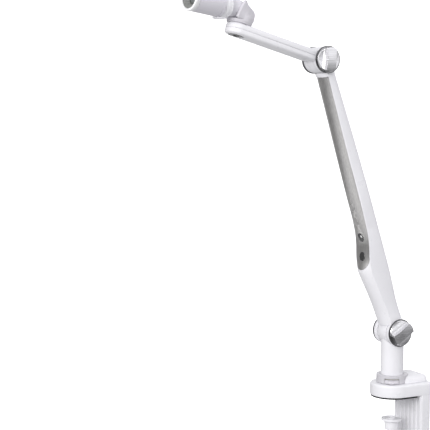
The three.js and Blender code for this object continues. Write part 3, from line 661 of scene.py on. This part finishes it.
def grip_height(x, y, radius, rim):
    """Height of a knob face: a shallow dome, hollowed on both sides of a waisted bar along X."""
    out = math.hypot(x, y)
    dome = rim + GRIP_RISE - GRIP_FALL * (out / radius) ** 2
    hollow = HOLLOW_RADIUS * math.sqrt(1 - (x / HOLLOW_LENGTH) ** 2)
    aside = min(abs(abs(y) - HOLLOW_ASIDE) / hollow, 1)
    floor = rim + HOLLOW_RADIUS - hollow * (1 - aside ** HOLLOW_POWER) ** (1 / HOLLOW_POWER)
    height = soft_min(dome, floor, 0.9)
    past = min(max((out - (radius - 2.1)) / 0.7, 0), 1)
    wall = height + (rim - height) * past * past * (3 - 2 * past)
    return wall if height > rim else rim


def grip_knob(radius, rim, base, bolt, bolt_end):
    """A round knob along +Z with a grip bar along X, laid out on rings so that it shades smoothly."""
    edge = radius - 0.8
    outs = [edge - d for d in (0.15, 0.45, 0.6, 0.75, 0.9, 1.05, 1.2, 1.35, 1.5, 1.8, 2.2)]
    outs += [outs[-1] * (1 - k / 34) for k in range(1, 34)]
    turns = [2 * math.pi * i / 240 for i in range(240)]
    rings = [[Vector((edge * math.cos(a), edge * math.sin(a), z)) for a in turns]
             for z in (base + 0.5, base + rim - 0.15)]
    for out in outs:
        ring = []
        for a in turns:
            x, y = out * math.cos(a), out * math.sin(a)
            ring.append(Vector((x, y, base + grip_height(x, y, radius, rim))))
        rings.append(ring)
    return union(skin(rings), rod(bolt, bolt_end, base + 1, 40))


def knob_shade_band(radius, rim, base):
    """A dark band round a knob's edge: painted shade for the shadowed gap at the rim."""
    edge, inner, floor = radius - 0.85, radius - 2, base + 0.48
    return lathe([(inner, base), (radius, base), (radius, base + rim), (edge, base + rim + 0.12),
                  (edge, floor), (inner, floor), (inner, base)], 0.3, 160)


def paint_end_shade(solid, radius, space):
    """Painted shade: the bar's end faces near the rim get the dark material, standing in for the shaded rim.
    """
    solid.data.materials.append(KNOB_SHADE)
    inverse = space.inverted()
    turn = inverse.to_3x3().normalized()
    for face in solid.data.polygons:
        centre, normal = inverse @ face.center, turn @ face.normal
        if abs(centre.x) > radius - 3 and abs(normal.x) > 0.6 and centre.xy.length > radius - 3:
            face.material_index = 1


def far_cap(radius, base):
    disc = lathe([(0, base), (radius, base), (radius, base + 3.2), (radius - 2.2, base + 3.2),
                  (radius - 2.6, base + 2.9), (0, base + 2.9)], [0, 0.8, 0.8, 0.1, 0.2, 0], 128)
    return eased(cut(disc, rod(3, base + 1.6, base + 5, 6)), 0.15)


KNOB_TURN = {"shoulder": -0.58, "elbow": 1.62}  # which way each grip bar points, from level


def build_knobs():
    for joint, place, radius, rim, cheek, bolt, stem_end, cap_body, cap_radius in (
            ("shoulder", SHOULDER, 17.5, 1.9, CHEEK_OUT, SHOULDER_BOLT, -15.0, "lower_arm", 17.6),
            ("elbow", ELBOW, 16.4, 4.0, ELBOW_OUT, ELBOW_BOLT, -13.2, "upper_arm", 16.4)):
        base = cheek + GAP
        space = outward(place, KNOB_TURN[joint])
        body = joint + "_knob"
        knob = grip_knob(radius, rim, base, bolt, stem_end)
        finish_piece(knob, joint + "_grip_knob", space, body, SILVER, body)
        # Painted shade on the bar's end faces.
        paint_end_shade(knob, radius, space)
        # The dark band round the rim is painted shade.
        finish_piece(knob_shade_band(radius, rim, base), joint + "_knob_shade_band", space, body, KNOB_SHADE)
        finish_piece(far_cap(cap_radius, base), joint + "_far_cap", inward(place), cap_body, DARK,
                     joint + "_cap")


# ------------------------------------- lower arm
# Distance along the arm, front face, back face, half width, fall of the front crown.
ARM_STATIONS = [
    (14, -13.5, 14.0, 15.3, 5.5), (38, -15.2, 12.8, 15.3, 5.5), (60, -18.1, 13.8, 15.3, 5.6),
    (80, -21.6, 14.6, 15.3, 6.0), (93, -22.6, 14.9, 15.2, 6.0), (107, -15.8, 14.9, 15.1, 1.6),
    (124, -10.1, 15.0, 14.9, 0.5), (143, -10.1, 15.0, 14.7, 3.6), (190, -11.4, 15.0, 14.4, 6.8),
    (255, -9.5, 13.6, 14.0, 5.0), (342, -5.3, 11.0, 13.6, 2.2)]
ARM_START, ARM_END = ARM_STATIONS[0][0], ARM_STATIONS[-1][0]
FRONT_POWER, BACK_CROWN, BACK_POWER = 2.3, 8.0, 3.5
PANEL_START, PANEL_END, PANEL_RIM, PANEL_DEPTH = 93.5, 339.6, 1.2, 1.8
# Each button: distance along the arm, radius.
BUTTONS = {"zoom_in": (172.9, 4.4), "zoom_out": (153.6, 4.4), "light": (132.2, 5.6), "power": (108.8, 5.6)}
BUTTON_PROUD, BUTTON_LENGTH = 0.6, 3.0


def station(s):
    """(front, back, half width, crown) of the arm at distance s, on a smooth curve."""
    rows = ARM_STATIONS
    i = max(0, min(len(rows) - 2, sum(1 for row in rows if row[0] <= s) - 1))
    p0, p1, p2, p3 = (rows[max(0, i - 1)], rows[i], rows[i + 1], rows[min(len(rows) - 1, i + 2)])

    def at(t, k):
        a, b = (p2[k] - p0[k]) / 2, (p3[k] - p1[k]) / 2
        return ((2 * p1[k] - 2 * p2[k] + a + b) * t ** 3
                + (-3 * p1[k] + 3 * p2[k] - 2 * a - b) * t ** 2 + a * t + p1[k])

    low, high = 0.0, 1.0
    for _ in range(30):
        middle = (low + high) / 2
        if at(middle, 0) < s:
            low = middle
        else:
            high = middle
    return tuple(at(low, k) for k in (1, 2, 3, 4))


def front_surface(s, y):
    front, _, half, crown = station(s)
    return front + crown * abs(y / half) ** FRONT_POWER


def arm_ring(s, depth, steps=14):
    front, back, half, crown = station(s)
    width = half - depth
    ring = []
    for i in range(-steps, steps + 1):
        t = math.sin(i / steps * math.pi / 2)
        ring.append(Vector((front + depth + crown * abs(t) ** FRONT_POWER, t * width, s)))
    for i in range(steps, -steps - 1, -1):
        t = math.sin(i / steps * math.pi / 2)
        ring.append(Vector((back - depth - BACK_CROWN * abs(t) ** BACK_POWER, t * width, s)))
    return ring


def front_strip(start, end, side, outer, inner, step=5.0, across=8, top_round=0.0):
    """A strip that follows the front crown, with a round low end; depths are below the surface."""
    radius = station(start)[2] - side
    rows = [(start + radius * (1 - math.cos(a)), radius * math.sin(a))
            for a in (math.pi / 2 * k / 14 for k in range(1, 15))]
    rows += [(s, station(s)[2] - side) for s in spread(start + radius + 2, end - top_round - 0.5, step)]
    if top_round:
        for k in range(1, 9):
            a = math.pi / 2 * k / 8
            s = end - top_round * (1 - math.sin(a))
            rows.append((s, station(end)[2] - side - top_round * (1 - math.cos(a))))
    else:
        rows.append((end, station(end)[2] - side))
    rings = []
    for s, width in rows:
        ys = [width * i / across for i in range(-across, across + 1)]
        ring = [Vector((front_surface(s, y) + outer, y, s)) for y in ys]
        ring += [Vector((front_surface(s, y) + inner, y, s)) for y in reversed(ys)]
        rings.append(ring)
    return skin(rings)


def arm_shell():
    """The arm's moulding: body, raised top collar and cheeks, less the cavity, panel seat and bores."""
    body = skin([arm_ring(s, 0) for s in spread(ARM_START, ARM_END, 4)])
    end_ring = arm_ring(ARM_END, 0)
    collar = []
    for s, swell in ((339.3, 0.2), (339.7, 0.8), (340.4, 1.15), (341.5, 1.25), (346, 1.25), (352, 1.1)):
        collar.append([Vector((p.x - swell if p.x < 0 else p.x + 0.2 * swell, p.y, s)) for p in end_ring])
    parts = [skin(collar)]
    for side in (1, -1):
        low, high = sorted((side * CHEEK_IN, side * CHEEK_OUT))
        parts.append(rod_y(EYE_RADIUS, low, high, 128))
        lip = sorted((side * (CHEEK_OUT - CHEEK_LIP), side * CHEEK_OUT))
        parts.append(rod_y(EYE_RADIUS + 1, lip[0], lip[1], 128))
    body = union(body, *parts)
    tools = [
        skin([arm_ring(s, 2.4, 8) for s in spread(44, 322, 14)]),
        front_strip(PANEL_START - GAP, PANEL_END + GAP, PANEL_RIM - GAP, -4, PANEL_DEPTH + GAP),
        front_strip(PANEL_START + 6, PANEL_END - 6, PANEL_RIM + 4, -1, 7, 20, 4),
        rod_y(EYE_RADIUS + 0.5, -CHEEK_IN, CHEEK_IN, 128),
        rod_y(SHOULDER_BOLT + GAP, -20, 20, 48),
        rod_y(SHOULDER_NUT, 11.8, 20, 6),
        moved(rod_y(ELBOW_RADIUS + 0.6, -20, 20, 128), Matrix.Translation((0, 0, ARM_LENGTH))),
        block(-4.4, 5.4, -ELBOW_EYE - GAP, ELBOW_EYE + GAP, 310, 356),
    ]
    return eased(cut(body, *tools), 0.3, 40)


def button_frame(s):
    """A space with +Z out of the front surface at distance s along the arm."""
    slope = (station(s + 1)[0] - station(s - 1)[0]) / 2
    return (Matrix.Translation((station(s)[0], 0, s)) @ spin(math.atan(slope), "Y")
            @ spin(-math.pi / 2, "Y"))


def control_panel():
    strip = front_strip(PANEL_START, PANEL_END, PANEL_RIM, 0, PANEL_DEPTH, 4.0, 12, 4.0)
    holes = [moved(rod(radius + GAP, -8, 5, 48), button_frame(s)) for s, radius in BUTTONS.values()]
    return eased(cut(strip, *holes), 0.2, 50)


def button(radius, domed):
    top = BUTTON_PROUD
    profile = [(0, top - BUTTON_LENGTH), (radius, top - BUTTON_LENGTH)]
    if domed:
        profile += [(radius * (1 - k / 6), top - 0.3 + 0.4 * (1 - (1 - k / 6) ** 2)) for k in range(7)]
    else:
        profile += [(radius, top - 0.4), (radius - 0.5, top), (radius - 1.3, top - 0.25), (0, top - 0.45)]
    return lathe(profile, 0.35, 64)


def elbow_eye():
    eye = moved(rod_y(ELBOW_RADIUS, -ELBOW_EYE, ELBOW_EYE, 128), Matrix.Translation((0, 0, ARM_LENGTH)))
    bore = moved(rod_y(ELBOW_BOLT + GAP, -20, 20, 48), Matrix.Translation((0, 0, ARM_LENGTH)))
    return eased(cut(union(eye, block(-2.7, 5.1, -ELBOW_EYE, ELBOW_EYE, 313, 356)), bore), 0.4)


def build_lower_arm():
    finish_piece(arm_shell(), "arm_casing", LOWER, "lower_arm", WHITE, "lower_arm_shell")
    finish_piece(control_panel(), "panel_strip", LOWER, "lower_arm", PANEL, "control_panel")
    finish_piece(elbow_eye(), "elbow_knuckle", LOWER, "lower_arm", WHITE, "elbow_eye")
    for name, (s, radius) in BUTTONS.items():
        dark = name in ("light", "power")
        solid = moved(button(radius, dark), button_frame(s))
        finish_piece(solid, name + "_key", LOWER, name + "_button", GLOSS if dark else KEY,
                     name + "_button")


# ------------------------------------- upper arm
ELBOW_RADIUS, ELBOW_EYE, ELBOW_IN, ELBOW_OUT, ELBOW_BOLT = 15.6, 6.0, 6.6, 13.5, 3.5
UPPER_HALF, TIP_RADIUS, UPPER_TOP, UPPER_BOTTOM = 13.6, 14.4, 8.0, -6.8
UPPER_BACK, ELBOW_NUT = -8.0, 6.5
DISH_X = -21.0  # place of the small dish in the underside


def upper_plan():
    tip = arc(-REACH, 0, TIP_RADIUS, 90, 270, 64)
    return [Vector((UPPER_BACK, -UPPER_HALF)), Vector((UPPER_BACK, UPPER_HALF)),
            Vector((-REACH + 20, UPPER_HALF))] + tip + [Vector((-REACH + 20, -UPPER_HALF))]


def upper_solid():
    """The whole arm: a crowned top, straight sides and a chamfered, slightly crowned underside."""
    chamfer = [(4.2, 0), (3.0, 0.25), (1.5, 0.9), (0.5, 1.6), (0.1, 2.2), (0, 2.6)]
    crown = [(0, 4.6), (0.25, 3.4), (0.9, 2.2), (2.0, 1.2), (3.6, 0.5), (5.6, 0.15), (8.0, 0)]
    layers = [(d, UPPER_BOTTOM + z) for d, z in chamfer] + [(d, UPPER_TOP - z) for d, z in crown]
    return skin([[Vector((p.x, p.y, z)) for p in inset(upper_plan(), d)] for d, z in layers])


def upper_shell(is_top):
    """One of the arm's two mouldings, with the head's seat on top or the plug's recess below."""
    tip = Matrix.Translation((-REACH, 0, 0))
    cavity = slab(inset(upper_plan(), 2.2), UPPER_BOTTOM + 2, UPPER_TOP - 3.4)
    tools = [rod_y(ELBOW_RADIUS + 0.4, -20, 20, 128), cavity]
    if is_top:
        keep = block(-150, 10, -20, 20, 0.35, 20)
        tools += [moved(rod(TIP_RADIUS + 1, SEAT, SEAT + 9, 96), tip), moved(rod(5.3, 0, 20, 48), tip)]
    else:
        keep = block(-150, 10, -20, 20, -20, 0.05)
        dish = lathe([(0, -1), (3.4, -1), (3.4, 0), (2.2, 1.1), (0, 1.1)], 0, 48)
        tools += [moved(rod(9.5, -20, 0, 96), tip),
                  moved(dish, Matrix.Translation((DISH_X, 0, UPPER_BOTTOM)))]
    return eased(cut(common(upper_solid(), keep), *tools), 0.22, 40)


def elbow_fork():
    cheeks = [rod_y(ELBOW_RADIUS, ELBOW_IN, ELBOW_OUT, 128), rod_y(ELBOW_RADIUS, -ELBOW_OUT, -ELBOW_IN, 128)]
    body = union(block(-44, -8, -10.5, 10.5, -3.6, 4.2), *cheeks)
    return eased(cut(body, rod_y(ELBOW_RADIUS + 0.5, -ELBOW_IN, ELBOW_IN, 128),
                     rod_y(ELBOW_BOLT + GAP, -20, 20, 48), rod_y(ELBOW_NUT, 10.2, 20, 6)), 0.4)


def swivel_cover():
    """The plug under the swivel axle: a rounded rim round a shallow dish."""
    return lathe([(0, -5.8), (3.4, -5.9), (3.8, -6.9), (6, -6.9), (8.2, -6.2), (9.1, -5.4), (9.1, -2.2),
                  (0, -2.2)], 0.35, 96)


def build_upper_arm():
    finish_piece(upper_shell(True), "top_casing", UPPER, "upper_arm", WHITE, "upper_arm_top_shell")
    finish_piece(upper_shell(False), "bottom_casing", UPPER, "upper_arm", WHITE, "upper_arm_bottom_shell")
    finish_piece(elbow_fork(), "fork_cheeks", UPPER, "upper_arm", WHITE, "elbow_fork")
    cover = moved(swivel_cover(), Matrix.Translation((-REACH, 0, 0)))
    finish_piece(cover, "swivel_plug", UPPER, "upper_arm", BLACK, "swivel_cover")


# ----------------------------------- camera head
CRADLE_RADIUS, CRADLE_IN, CRADLE_OUT, CAVITY = 15.6, 11.1, 14.2, 11.8
PIN_BORE, PIN_END = 2.8, 12.6
BARREL_RADIUS, BARREL_WALL, BARREL_START, BEZEL_RADIUS = 14.0, 1.8, 36.5, 15.0
FOCUS_START, FOCUS_END, FOCUS_RADIUS, TAB_END = 26.0, 36.0, 13.6, 40.5
HEAD_END = 84.0


def cradle():
    tx, tz = TILT_OFFSET.x, TILT_OFFSET.z
    base = lathe([(0, GAP), (14.6, GAP), (CRADLE_RADIUS, 3.6), (CRADLE_RADIUS, 8.5), (14.2, 12), (9, 16),
                  (0, 17.5)], [0, 0.8, 2.5, 2.5, 2, 3, 0], 128)
    side = fillet([(-17, 4), (-14.8, 14), (-12.2, 22), (-10.8, 25.8), (-9.4, 27), (-7.6, 26), (-3.6, 22.4),
                   (3.7, 19.8), (7.6, 17.9), (9.9, 14.5), (10.4, 9), (10, 4)], 2.5, True)
    cheeks = moved(slab(side, -CRADLE_OUT, CRADLE_OUT, 1.6, 1.6), spin(math.pi / 2, "X"))
    here = Matrix.Translation((tx, 0, tz))
    body = cut(union(base, cheeks), moved(rod_y(CAVITY, -CRADLE_IN, CRADLE_IN, 96), here),
               block(-40, tx, -CRADLE_IN, CRADLE_IN, tz - CAVITY, 40),
               block(-40, tx + CAVITY, -CRADLE_IN, CRADLE_IN, tz, 40),
               moved(rod_y(PIN_BORE, -PIN_END, PIN_END, 40), here), rod(4.4, -1, 3.4, 40))
    return eased(body, 0.35, 40)


def knuckle():
    ball = lathe([(0, -CAVITY + 0.4)] + [tuple(p) for p in arc(0, 0, CAVITY - 0.4, -88, 88, 24)]
                 + [(0, CAVITY - 0.4)], 0, 64)
    ball = moved(ball, Matrix.Translation((0, 0, -TILT_OFFSET.x)))
    flats = block(-30, 30, -CRADLE_IN + GAP, CRADLE_IN - GAP, -20, 40)
    neck = lathe([(0, 12), (10.4, 12), (10.4, FOCUS_START - 2), (11.4, FOCUS_START - 1.2),
                  (11.4, BARREL_START + 4), (7, BARREL_START + 4), (7, 30), (0, 30)], 0.3, 96)
    pin = moved(rod_y(PIN_BORE, -20, 20, 40), Matrix.Translation((0, 0, -TILT_OFFSET.x)))
    return cut(union(common(ball, flats), neck), pin)


def barrel_shell():
    r = BARREL_RADIUS
    grooves = []
    for d in (38.6, 40.4):
        grooves += [(r, d), (r - 0.45, d + 0.15), (r - 0.45, d + 0.6), (r, d + 0.75)]
    profile = ([(11.7, BARREL_START), (r - 0.1, BARREL_START)] + grooves
               + [(r, HEAD_END - 7), (r - BARREL_WALL, HEAD_END - 7), (r - BARREL_WALL, BARREL_START + 5),
                  (11.7, BARREL_START + 5), (11.7, BARREL_START)])
    return lathe(profile, 0.15, 128)


def focus_ring():
    """A grooved ring with a wedge-shaped thumb tab that reaches over the barrel."""
    profile = [(11.8, FOCUS_START), (FOCUS_RADIUS, FOCUS_START)]
    for k in range(2):
        d = FOCUS_START + 1.4 + 5.6 * k
        profile += [(FOCUS_RADIUS, d), (FOCUS_RADIUS - 0.4, d + 0.2), (FOCUS_RADIUS - 0.4, d + 0.7),
                    (FOCUS_RADIUS, d + 0.9)]
    profile += [(FOCUS_RADIUS, FOCUS_END), (11.8, FOCUS_END), (11.8, FOCUS_START)]
    ring = lathe(profile, 0.15, 128)
    start, step = FOCUS_START + 1, FOCUS_END - 0.4
    wedge = lathe([(13.0, start), (14.6, start), (16.9, TAB_END - 2), (16.4, TAB_END), (14.4, TAB_END),
                   (14.4, step), (13.0, step), (13.0, start)], 0.3, 96)
    tab = common(wedge, block(-30, 0, -4.6, 4.6, 0, 60))
    return eased(union(ring, tab), 0.25, 45)


def build_head():
    end = HEAD_END
    finish_piece(cradle(), "head_yoke", CRADLE, "head_base", GREY, "head_cradle")
    finish_piece(knuckle(), "head_ball", BARREL, "camera_head", PALE, "head_knuckle")
    finish_piece(barrel_shell(), "barrel_casing", BARREL, "camera_head", PALE, "barrel_shell")
    inner = BARREL_RADIUS - BARREL_WALL - GAP
    root = end - 12
    bezel = lathe([(inner, root), (inner, end - 6.7), (14.2, end - 6.7), (BEZEL_RADIUS, end - 2.2),
                   (BEZEL_RADIUS - 0.4, end), (12.4, end), (11.6, end - 1.2), (10.2, root), (inner, root)],
                  [0.1, 0.1, 0.3, 1.0, 0.8, 0.6, 0.3, 0.1], 128)
    finish_piece(bezel, "front_bezel", BARREL, "camera_head", BEZEL, "lens_bezel")
    hood = [(9.9, end - 11.5), (11.2, end - 1.9), (10.6, end - 1.9)]
    for k in range(8):
        d, r = end - 2.4 - 0.62 * k, 10.6 - 0.52 * k
        hood += [(r, d), (r - 0.36, d - 0.2), (r - 0.36, d - 0.5)]
    hood += [(6.2, end - 7.6), (6.2, end - 11.5), (9.9, end - 11.5)]
    finish_piece(lathe(hood, 0.08, 96), "hood_cone", BARREL, "camera_head", HOOD, "lens_hood")
    dome = lathe([(0, end - 11), (5.9, end - 11), (5.9, end - 8.6), (5.0, end - 8.1), (3.8, end - 7.6),
                  (2.0, end - 7.3), (0, end - 7.2)], 0.2, 96)
    finish_piece(dome, "front_lens", BARREL, "camera_head", LENS, "lens_glass")
    finish_piece(focus_ring(), "focus_collar", BARREL, "focus_ring", WHITE, "focus_ring")


# -------------------------------------- assembly
def dress_hidden_nodes():
    """CAD nodes that stay as they are get the same finishes."""
    dress = {STEEL: ["pivot_screw", "arm_spine", "shoulder_nut", "shoulder_washer_near",
                     "shoulder_washer_far", "elbow_nut", "swivel_axle", "tilt_pin_near", "tilt_pin_far"],
             BRASS: ["clamp_nut"], NYLON: ["post_foot_plug"], BOARD: ["control_board", "sensor_board"],
             BLACK: ["lens_barrel"]}
    for material, names in dress.items():
        for name in names:
            node = frame["nodes"][name]
            for slot in node.material_slots:
                slot.material = material
            if not node.material_slots:
                node.data.materials.append(material)


# The sky in front and behind, from straight down to straight up: (height, brightness).
FRONT_SKY = [(-1.0, 0.50), (-0.45, 0.36), (-0.20, 0.17), (-0.06, 0.46),
             (0.05, 0.86), (0.15, 1.0), (0.45, 0.92), (1.0, 0.62)]
REAR_SKY = [(-1.0, 0.60), (-0.25, 0.62), (-0.12, 1.0), (0.35, 1.0), (0.7, 0.7), (1.0, 0.62)]
SKY_TINT = 1.02  # a little blue
# Each card: the way to it, its brightness, and how close to that way it starts and is full.
CARDS = [((-0.84, -0.19, -0.51), 0.85, 0.86, 1.05),  # white, low on the left
         ((-0.50, 0.866, 0.0), 0.15, 0.66, 0.98)]    # grey, at the rear left
FLOOR_DROP = 0.03  # keeps the floor clear of the screw at the bottom of its travel


def build_sky():
    """A studio dome: white behind, softer in front, with a white and a grey card in it."""
    world = bpy.data.worlds.new("studio")
    bpy.context.scene.world = world
    world.use_nodes = True
    tree = world.node_tree
    nodes, links = tree.nodes, tree.links
    towards = nodes.new("ShaderNodeTexCoord").outputs["Generated"]
    split = nodes.new("ShaderNodeSeparateXYZ")
    links.new(towards, split.inputs[0])
    lift = nodes.new("ShaderNodeMapRange")
    lift.inputs["From Min"].default_value = -1
    links.new(split.outputs["Z"], lift.inputs["Value"])

    def ranged(value, low, high):
        node = nodes.new("ShaderNodeMapRange")
        node.interpolation_type = "SMOOTHSTEP"
        node.inputs["From Min"].default_value = low
        node.inputs["From Max"].default_value = high
        links.new(value, node.inputs["Value"])
        return node.outputs[0]

    def by_height(stops):
        ramp = nodes.new("ShaderNodeValToRGB")
        marks = ramp.color_ramp.elements
        while len(marks) < len(stops):
            marks.new(0.5)
        for mark, (height, value) in zip(marks, stops):
            mark.position = (height + 1) / 2
            mark.color = (value, value, value * SKY_TINT, 1)
        links.new(lift.outputs[0], ramp.inputs[0])
        return ramp.outputs[0]

    def mixed(factor, first, second):
        node = nodes.new("ShaderNodeMix")
        node.data_type = "RGBA"
        links.new(factor, node.inputs[0])
        links.new(first, node.inputs[6])
        if isinstance(second, tuple):
            node.inputs[7].default_value = second
        else:
            links.new(second, node.inputs[7])
        return node.outputs[2]

    sky = mixed(ranged(split.outputs["Y"], 0.0, 0.45), by_height(FRONT_SKY), by_height(REAR_SKY))
    for direction, grey, near, full in CARDS:
        facing = nodes.new("ShaderNodeVectorMath")
        facing.operation = "DOT_PRODUCT"
        facing.inputs[1].default_value = direction
        links.new(towards, facing.inputs[0])
        sky = mixed(ranged(facing.outputs["Value"], near, full), sky, (grey, grey, grey, 1))
    links.new(sky, nodes["Background"].inputs["Color"])


def floor_paper():
    n = Nodes("floor_paper", "white_shell")
    n.join(n.blend(n.noise(1.5, 3), (0.90, 0.90, 0.90), (0.93, 0.93, 0.93)), n.shader.inputs["Base Color"])
    n.set(Roughness=0.8, Emission_Color=(1, 1, 1, 1), Emission_Strength=1.0)
    return n.material


def stage_surface(name, bm, height, paper):
    """A surface that gives the object no light and no reflection."""
    surface = made(bm)
    surface.name = name
    surface.location.z = height
    surface.visible_diffuse = False
    surface.visible_glossy = False
    surface.data.materials.append(paper)
    return surface


def build_floor():
    """A pale floor, and a pale dome round everything."""
    paper = floor_paper()
    sheet = bmesh.new()
    bmesh.ops.create_grid(sheet, x_segments=8, y_segments=8, size=8)
    stage_surface("floor", sheet, cad_bounds[0].z - FLOOR_DROP, paper)
    dome = bmesh.new()
    bmesh.ops.create_icosphere(dome, subdivisions=4, radius=14)
    backdrop = stage_surface("backdrop", dome, 0, paper)
    backdrop.visible_transmission = False
    backdrop.visible_shadow = False


def build_lamps():
    """Round soft lamps aimed at the arm, and a small one that sparkles on the dark keys."""
    centre = Vector((-0.12, 0, 0.22))
    for name, spot, size, power, color in (
            ("key", (-1.8, -1.0, 0.9), 1.2, 19, (1, 0.99, 0.985)),
            ("left", (-2.2, 0.1, 0.15), 1.4, 3, (1, 1, 1)),
            ("front", (-0.5, -2.1, 0.5), 1.6, 6, (1, 1, 1)),
            ("top", (-0.1, -0.2, 2.2), 1.6, 2.5, (0.97, 0.97, 1)),
            ("sparkle", (-0.42, 0.555, -0.12), 0.07, 0.06, (1, 1, 1))):
        light = bpy.data.lights.new(name, "AREA")
        light.shape = "DISK"
        light.size = size
        light.energy = power
        light.color = color
        lamp = bpy.data.objects.new(name, light)
        lamp.visible_glossy = name in ("key", "top", "sparkle")
        bpy.context.scene.collection.objects.link(lamp)
        lamp.location = spot
        lamp.rotation_euler = (centre - Vector(spot)).to_track_quat("-Z", "Y").to_euler()


def build_camera():
    data = bpy.data.cameras.new("view")
    data.sensor_width = 36
    data.lens = 104.63
    data.clip_end = 50
    camera = bpy.data.objects.new("view", data)
    bpy.context.scene.collection.objects.link(camera)
    camera.location = (-0.95139, -1.27924, 0.37275)
    camera.rotation_euler = (math.radians(84.91), 0, math.radians(-28.46))
    bpy.context.scene.camera = camera


bpy.context.scene.view_settings.view_transform = "Standard"
build_camera()
build_sky()
build_floor()
build_lamps()
build_clamp()
build_post()
build_lower_arm()
build_upper_arm()
build_knobs()
build_head()
dress_hidden_nodes()
